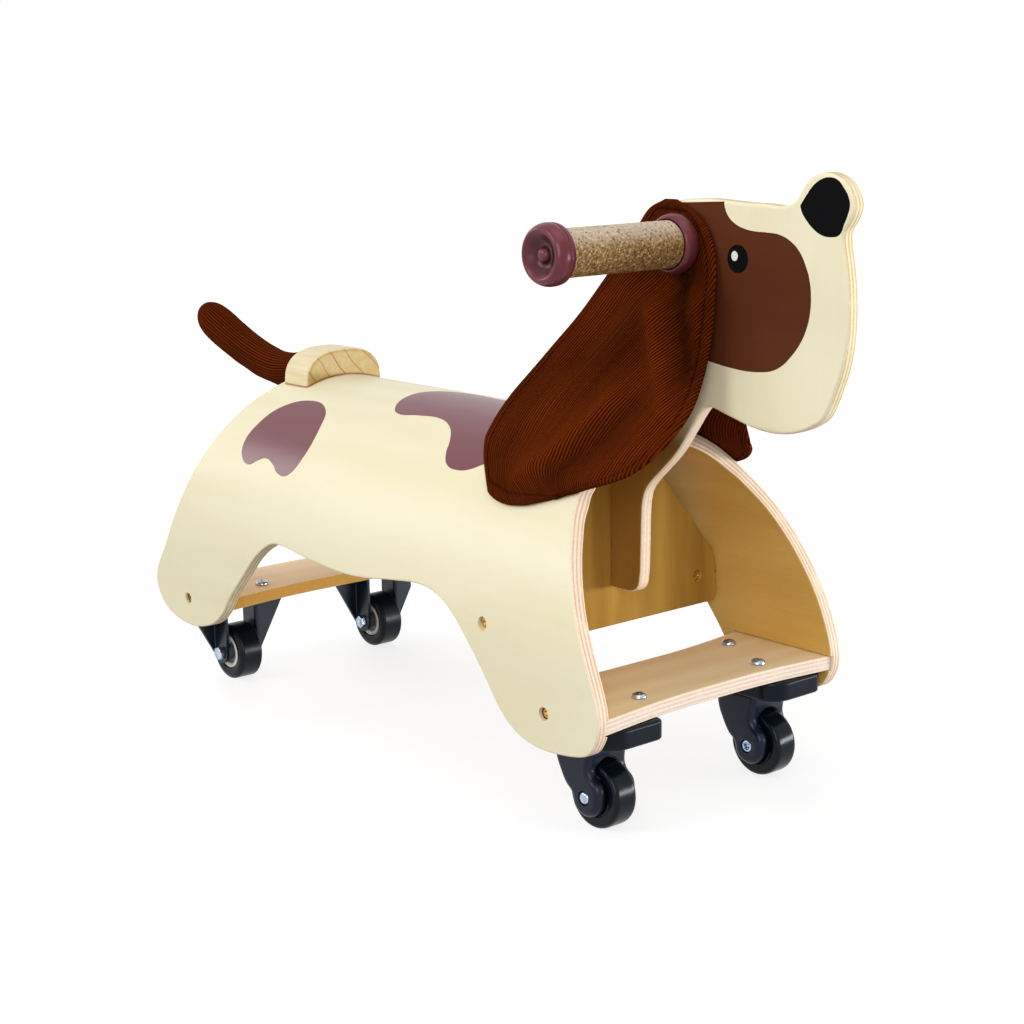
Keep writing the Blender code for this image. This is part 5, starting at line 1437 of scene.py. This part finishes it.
def makeTail(values):
    work = bmesh.new()
    uvLayer = work.loops.layers.uv.new("cloth")
    rings, travel, last = [], 0.0, None
    around, along = values["around"], values["along"]
    places = []
    for k in range(along + 1):
        share = k / along
        spot = smoothLine(values["line"], share)
        ahead = smoothLine(values["line"], share + 0.01) - smoothLine(values["line"], share - 0.01)
        direction = Vector((ahead.x, 0, ahead.y)).normalized()
        lift = Vector((0, 1, 0)).cross(direction).normalized()
        centre = Vector((values["from"][0] + spot.x, 0, values["from"][1] + spot.y))
        if last is not None:
            travel += (centre - last).length
        last = centre
        places.append(travel)
        ring = []
        for j in range(around):
            turn = 2 * math.pi * j / around
            across = Vector((0, 1, 0)) * math.cos(turn) * values["narrow"]
            place = centre + (across + lift * math.sin(turn)) * tailRadius(values, spot, j)
            ring.append(work.verts.new((place.x * mm + shift, place.y * mm, place.z * mm)))
        rings.append(ring)
    girth = values["girth"] * values["pitch"]
    for k, (ring, other) in enumerate(zip(rings[:-1], rings[1:])):
        for j in range(around):
            n = (j + 1) % around
            made = work.faces.new((ring[j], ring[n], other[n], other[j]))
            uvs = [(j, k), (j + 1, k), (j + 1, k + 1), (j, k + 1)]
            for loop, (a, b) in zip(made.loops, uvs):
                loop[uvLayer].uv = (a / around * girth * mm, places[b] * mm)
    for ring in (rings[0], rings[-1]):
        middle = sum((v.co for v in ring), Vector()) / len(ring)
        if ring is rings[-1]:
            middle += (middle - sum((v.co for v in rings[-3]), Vector()) / len(ring)) * values["tip"]
        hub = work.verts.new(middle)
        for j in range(around):
            made = work.faces.new((ring[j], ring[(j + 1) % around], hub))
            for loop, a in zip(made.loops, (j, j + 1, j + 0.5)):
                end = places[-1] + (4 if loop.vert == hub else 0)
                loop[uvLayer].uv = (a / around * girth * mm, end * mm)
    bmesh.ops.recalc_face_normals(work, faces=work.faces)
    mesh = bpy.data.meshes.new("tail_cloth")
    work.to_mesh(mesh)
    work.free()
    obj = linked("tail_cloth", mesh)
    pickOnly(obj)
    bpy.ops.object.shade_smooth()
    return obj


tailCloth = makeTail(tail)
dress(tailCloth, "tail_cloth", corduroy, "body", ["tail"])
print("tail stuffed")


# Front casters: base, swivelling fork, solid wheel and riveted axle
front = {
    "middle": 75.6, "axle": (222.7, 22.5), "kingpin": 211.7, "kingpinWay": 6.6, "apart": 149.5,
    "base": [(176.4, 51, 3), (251.2, 51, 3), (254.3, 54.2, 3), (254.3, 88, 6), (244.4, 98.5, 6),
             (178.2, 98.5, 4), (170, 90, 4), (170, 57, 4)],
    "baseRound": 2.4,
    "fork": [(-18.6, 60.1, "c"), (-18.9, 53), (-17.6, 45), (-14, 37), (-8, 27.6), (-2.2, 22.5), (0, 15.1),
             (7, 9.9), (15, 9.9), (22, 15.3), (24.4, 23.5), (23.4, 31.5), (15.6, 39.5), (15.4, 47),
             (17.4, 54), (17.6, 60.1, "c")],
    "forkHalf": 17.6, "forkRound": 4.6, "forkEdge": 0.5, "bore": 3.0, "sink": (5.0, 1.8),
    "well": [(-11.4, -6, "c"), (11.4, -6, "c"), (11.4, 36, "c"), (9.6, 43.4), (5, 47.2), (0, 48.4),
             (-5, 47.2), (-9.6, 43.4), (-11.4, 36, "c")],
    "wheel": [(2.15, -10.8), (6.4, -10.8, 0.6), (7.0, -7.9, 0.6), (13.6, -8.1, 0.8), (14.8, -9.2, 0.8),
              (20.2, -9.2, 0.8), (21.5, -8.6, 0.8), (22.5, -6.8, 1.8), (22.5, 6.8, 1.8), (21.5, 8.6, 0.8),
              (20.2, 9.2, 0.8), (14.8, 9.2, 0.8), (13.6, 8.1, 0.8), (7.0, 7.9, 0.6), (6.4, 10.8, 0.6),
              (2.15, 10.8)],
    "pin": [(0.05, -15.9), (0.9, -15.8, 0.3), (1.1, -14.0, 0.1), (2.3, -14.0, 0.1), (2.6, -17.2, 0.3),
            (4.0, -17.2, 0.4), (4.3, -15.85), (2.75, -15.85), (2.75, -13.4), (1.95, -13.4), (1.95, 15.85),
            (4.2, 15.85), (4.2, 16.8, 0.4), (3.0, 18.1, 1.2), (0.05, 18.5)],
}


def makeFrontBase(values):
    outline = [(x * mm, -y * mm, "c") for x, y in roundCorners(values["base"], 5, closed=True)]
    low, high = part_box("front_base_right")
    base = flatShape(outline, high.z - low.z, values["baseRound"] * mm, 1, 4)
    settle(base, move=(shift, 0, (low.z + high.z) / 2))
    tool = drill(values["kingpinWay"], -20, 20)
    settle(tool, move=(values["kingpin"] * mm + shift, -values["middle"] * mm, low.z))
    cutAway(base, tool)
    cleanFaces(base)
    evenNormals(base, 40)
    return base


def makeFork(values):
    outline = [(p[0] + values["kingpin"],) + tuple(p[1:]) for p in values["fork"]]
    fork = flatShape(placed(outline), 2 * values["forkHalf"] * mm, values["forkRound"] * mm, 6, 5)
    settle(fork, (90, 0, 0), (shift, -values["middle"] * mm, 0))
    well = flatShape(placed(values["well"]), 90 * mm, detail=6)
    settle(well, (90, 0, 0))
    settle(well, (0, 0, 90), (values["kingpin"] * mm + shift, -values["middle"] * mm, 0))
    cutAway(fork, well)
    wide, deep = values["sink"]
    half, past = values["forkHalf"], 30
    for radius, low, high in ((values["bore"], -past, past), (wide, half - deep, past),
                              (wide, -past, deep - half)):
        tool = drill(radius, low, high)
        alongY(tool, -1, *values["axle"])
        settle(tool, move=(0, -values["middle"] * mm, 0))
        cutAway(fork, tool)
    bevelEdges(fork, values["forkEdge"] * mm, 40)
    cleanFaces(fork)
    evenNormals(fork, 40)
    return fork


def turned(profile, side, x, y, z, steps=96, ring=True):
    # a lathe piece about an axle, its top towards the given side
    made = turnOnLathe([(r * mm, h * mm) for r, h in roundCorners(profile, 4)], steps, ring)
    alongY(made, side, x, z)
    settle(made, move=(0, y * mm, 0))
    evenNormals(made, 40)
    return made


x, z = front["axle"]
y = -front["middle"]
frontPieces = (
    ("base", makeFrontBase(front), blackPlastic, "body", "front_base", "black_plastic"),
    ("fork", makeFork(front), litForkPlastic, "front_swivel", "front_fork", "black_plastic"),
    ("axle", turned(front["pin"], -1, x, y, z, 48, False), zincSteel, "front_swivel", "front_axle",
     "zinc_steel"),
    ("wheel", turned(front["wheel"], -1, x, y, z), wheelPlastic, "front_wheel", "front_wheel",
     "black_plastic"),
)
rides = {"body": ("body", "body"), "front_swivel": ("front_swivel_right", "front_swivel_left"),
         "front_wheel": ("front_wheel_right_body", "front_wheel_left_body")}
for label, right, material, body, node, slot in frontPieces:
    # both bases are the same way round, the other parts are mirrored
    left = twin(right, (0, front["apart"] * mm, 0)) if label == "base" else twin(right, flip=True)
    for obj, hand, rider in ((right, "right", rides[body][0]), (left, "left", rides[body][1])):
        dress(obj, "caster_front_" + label + "_" + hand, material, rider, [node + "_" + hand])
print("front casters built")


# Rear casters: bent sheet bracket, rubber tyre on a ringed hub, bolt and nut
rear = {
    "middle": 70.8, "axle": (-222.7, 22.5), "legBack": -11.5, "legFront": 7.7, "gap": 13.2, "sheet": 2.4,
    "slope": 0.581, "slopeFrom": (18.4, 25.5), "foot": 20.7, "plateHalf": 20.8, "plateIn": 42.0,
    "plateOut": 31.6,
    "plateLow": 65.0, "plateHigh": 67.4, "plateEdge": 0.5, "plateCorner": 3, "bend": 3.2, "innerBend": 1.0,
    "boltWay": 2.9, "legEdge": 0.45, "footPoint": (-1.9, 13.7), "hexEdge": 0.55,
    # cutters run from below the foot to above the plate
    "below": 10, "above": 80,
    "tyre": [(13.6, -8.6), (14.6, -10.2, 0.8), (18.6, -10.5, 1.2), (20.7, -9.7, 0.4), (20.9, -9.1, 0.2),
             (21.5, -9.1, 0.3), (22.5, -8.0, 0.8), (22.5, 8.0, 0.8), (21.5, 9.1, 0.3), (20.9, 9.1, 0.2),
             (20.7, 9.7, 0.4), (18.6, 10.5, 1.2), (14.6, 10.2, 0.8), (13.6, 8.6)],
    "hub": [(3.2, -12.1), (5.6, -12.1, 0.6), (6.2, -7.0, 0.6), (8.6, -6.6, 0.4), (9.0, -7.6, 0.3),
            (9.5, -7.6, 0.2), (9.6, -5.2), (13.4, -5.2), (13.4, 5.2), (9.6, 5.2), (9.5, 7.6, 0.2),
            (9.0, 7.6, 0.3), (8.6, 6.6, 0.4), (6.2, 7.0, 0.6), (5.6, 12.1, 0.6), (3.2, 12.1)],
    "ring": [(9.7, 5.3), (9.8, 8.6, 0.5), (10.9, 9.4, 0.5), (11.3, 8.9, 0.2), (11.7, 8.9, 0.2),
             (12.1, 9.5, 0.4), (13.3, 9.2, 0.5), (13.35, 5.3)],
    "shaft": [(0.05, -20.5), (2.5, -20.5, 0.5), (2.6, -19.6), (2.6, 15.9), (0.05, 15.9)],
    "headAt": 15.75, "headHigh": 4.1, "headWide": 5.6,
    "nutAt": -15.75, "nutHigh": 4.2, "nutWide": 5.4,
}


def hexagon(wide, high, outset, side, x, y, z):
    # high is below nought where the piece reaches away from its side
    turns = [math.radians(a) for a in range(15, 375, 60)]
    points = [(wide * mm * math.cos(a), wide * mm * math.sin(a), "c") for a in turns]
    made = flatShape(points, abs(high) * mm, rear["hexEdge"] * mm, 1, 3)
    settle(made, move=(0, 0, (outset + high / 2) * mm))
    alongY(made, side, x, z)
    settle(made, move=(0, y * mm, 0))
    cleanFaces(made)
    return made


def makeLeg(face, reachOut, values):
    # an L-bar stood on end, cut to the strip's rounded foot and the flange's slanted edge
    gap, sheet, back, ahead = values["gap"], values["sheet"], values["legBack"], values["legFront"]
    x, z = values["axle"]
    below, above, foot = values["below"], values["above"], values["foot"]
    low, top = below + 2, values["plateLow"] + 0.6
    bend, inner = values["bend"], values["innerBend"]
    far = gap + reachOut + 10
    if face < 0:
        section = [(ahead, gap), (ahead, gap + sheet), (back + sheet, gap + sheet, inner),
                   (back + sheet, far), (back, far), (back, gap, bend)]
    else:
        section = [(back, gap), (ahead, gap, bend), (ahead, far), (ahead - sheet, far),
                   (ahead - sheet, gap + sheet, inner), (back, gap + sheet)]
    section = roundCorners(section, 6, closed=True)
    bar = flatShape([(u * mm, v * mm, "c") for u, v in section], (top - low) * mm, detail=1)
    settle(bar, move=(0, 0, (top + low) / 2 * mm))
    side = flatShape(placed([
        (back - 1, above, "c"), (back - 1, 21.2, "c"), (back, 21.2, "c"), (back + 2.4, 16.6),
        values["footPoint"], (ahead - 2.6, 16.2), (ahead, 20.9, "c"), (ahead + 1, 20.9, "c"),
        (ahead + 1, above, "c")]), 200 * mm, detail=8)
    settle(side, (90, 0, 0))
    cutAway(bar, side, "INTERSECT")
    edge, start = values["slopeFrom"]
    reachAt = start + (reachOut - edge) / values["slope"]
    outline = [(gap - 1, below), (gap + sheet + 0.15, below), (gap + sheet + 0.15, foot - 0.4),
               (edge + (foot + 1.2 - start) * values["slope"], foot + 0.2),
               (reachOut, reachAt), (reachOut, above), (gap - 1, above)]
    slant = flatShape([(u * mm, v * mm, "c") for u, v in outline], 80 * mm, detail=1)
    settle(slant, (90, 0, 0))
    settle(slant, (0, 0, 90))
    cutAway(bar, slant, "INTERSECT")
    tool = drill(values["boltWay"], -60, 60, 32)
    settle(tool, (90, 0, 0), (0, 0, z * mm))
    cutAway(bar, tool)
    bevelEdges(bar, values["legEdge"] * mm, 45)
    bar.scale.y = face
    settle(bar, move=(x * mm + shift, 0, 0))
    cleanFaces(bar)
    evenNormals(bar, 40)
    return bar


def makePlate(low, high, values):
    x, half, corner = values["axle"][0], values["plateHalf"], values["plateCorner"]
    under, over = values["plateLow"], values["plateHigh"]
    outline = roundCorners([(x - half, low, corner), (x + half, low, corner), (x + half, high, corner),
                            (x - half, high, corner)], 5, closed=True)
    plate = flatShape([(u * mm, v * mm, "c") for u, v in outline], (over - under) * mm,
                      values["plateEdge"] * mm, 1, 2)
    settle(plate, move=(shift, 0, (over + under) / 2 * mm))
    cleanFaces(plate)
    evenNormals(plate, 40)
    return plate


x, z = rear["axle"]
for side, hand in ((-1, "right"), (1, "left")):
    y = side * rear["middle"]
    outward, inward = rear["plateOut"], rear["plateIn"]
    low = y - (outward if side < 0 else inward)
    high = y + (inward if side < 0 else outward)
    plate = makePlate(low, high, rear)
    dress(plate, "caster_rear_plate_" + hand, forkSteel, "body", ["rear_fork_" + hand])
    for way, label in ((-1, "near"), (1, "far")):
        leg = makeLeg(way, (outward if way == side else inward) - 1.0, rear)
        settle(leg, move=(0, y * mm, 0))
        dress(leg, "caster_rear_leg_" + label + "_" + hand, forkSteel, "body")
    spin = "rear_wheel_" + hand + "_body"
    tyre = turned(rear["tyre"], side, x, y, z, 112)
    dress(tyre, "caster_rear_tyre_" + hand, tyreRubber, spin, ["rear_tyre_" + hand])
    hub = turned(rear["hub"], side, x, y, z)
    dress(hub, "caster_rear_hub_" + hand, hubPlastic, spin, ["rear_hub_" + hand])
    for way, label in ((side, "outer"), (-side, "inner")):
        ring = turned(rear["ring"], way, x, y, z)
        dress(ring, "caster_rear_ring_" + label + "_" + hand, hubRing, spin)
    shaft = turned(rear["shaft"], side, x, y, z, 40, False)
    head = hexagon(rear["headWide"], rear["headHigh"], rear["headAt"], side, x, y, z)
    pickOnly(shaft)
    head.select_set(True)
    bpy.ops.object.join()
    evenNormals(shaft, 35)
    dress(shaft, "caster_rear_bolt_" + hand, zincSteel, "body", ["rear_bolt_" + hand])
    nut = hexagon(rear["nutWide"], -rear["nutHigh"], rear["nutAt"], side, x, y, z)
    evenNormals(nut, 35)
    dress(nut, "caster_rear_nut_" + hand, zincSteel, "body", ["rear_nut_" + hand])
print("rear casters built")


# Pan-head board screws with a cross recess, one modelled and copied
screw = {
    "profile": [(0.05, -12.0), (0.7, -11.4), (1.7, -10.0, 0.4), (1.7, 0.05, 0.1), (5.2, 0.05, 0.2),
                (5.2, 1.0, 0.6), (4.5, 2.4, 1.4), (2.6, 3.2, 1.0), (0.05, 3.3)],
    "arm": (5.6, 1.0), "armDeep": 1.8, "headHigh": 3.3, "proud": 2.65,
}


def makeScrew(values):
    body = turnOnLathe([(r * mm, h * mm) for r, h in roundCorners(values["profile"], 4)], 48)
    reach, wide = values["arm"]
    for turn in (0, 90):
        tool = cutBlock((0, 0, values["headHigh"] * mm), (reach * mm, wide * mm, 2 * values["armDeep"] * mm))
        settle(tool, (0, 0, turn))
        cutAway(body, tool)
    cleanFaces(body)
    evenNormals(body, 35)
    return body


pattern = makeScrew(screw)
for node in sorted(nodes):
    if node.startswith(("front_screw", "rear_screw")):
        low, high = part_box(node)
        place = Vector(((low.x + high.x) / 2, (low.y + high.y) / 2, high.z - screw["proud"] * mm))
        copied = twin(pattern)
        settle(copied, (0, 0, random.uniform(0, 90)), place)
        dress(copied, "board_" + node, zincSteel, "body", [node])
bpy.data.objects.remove(pattern, do_unlink=True)
print("board screws driven")

low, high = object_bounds()
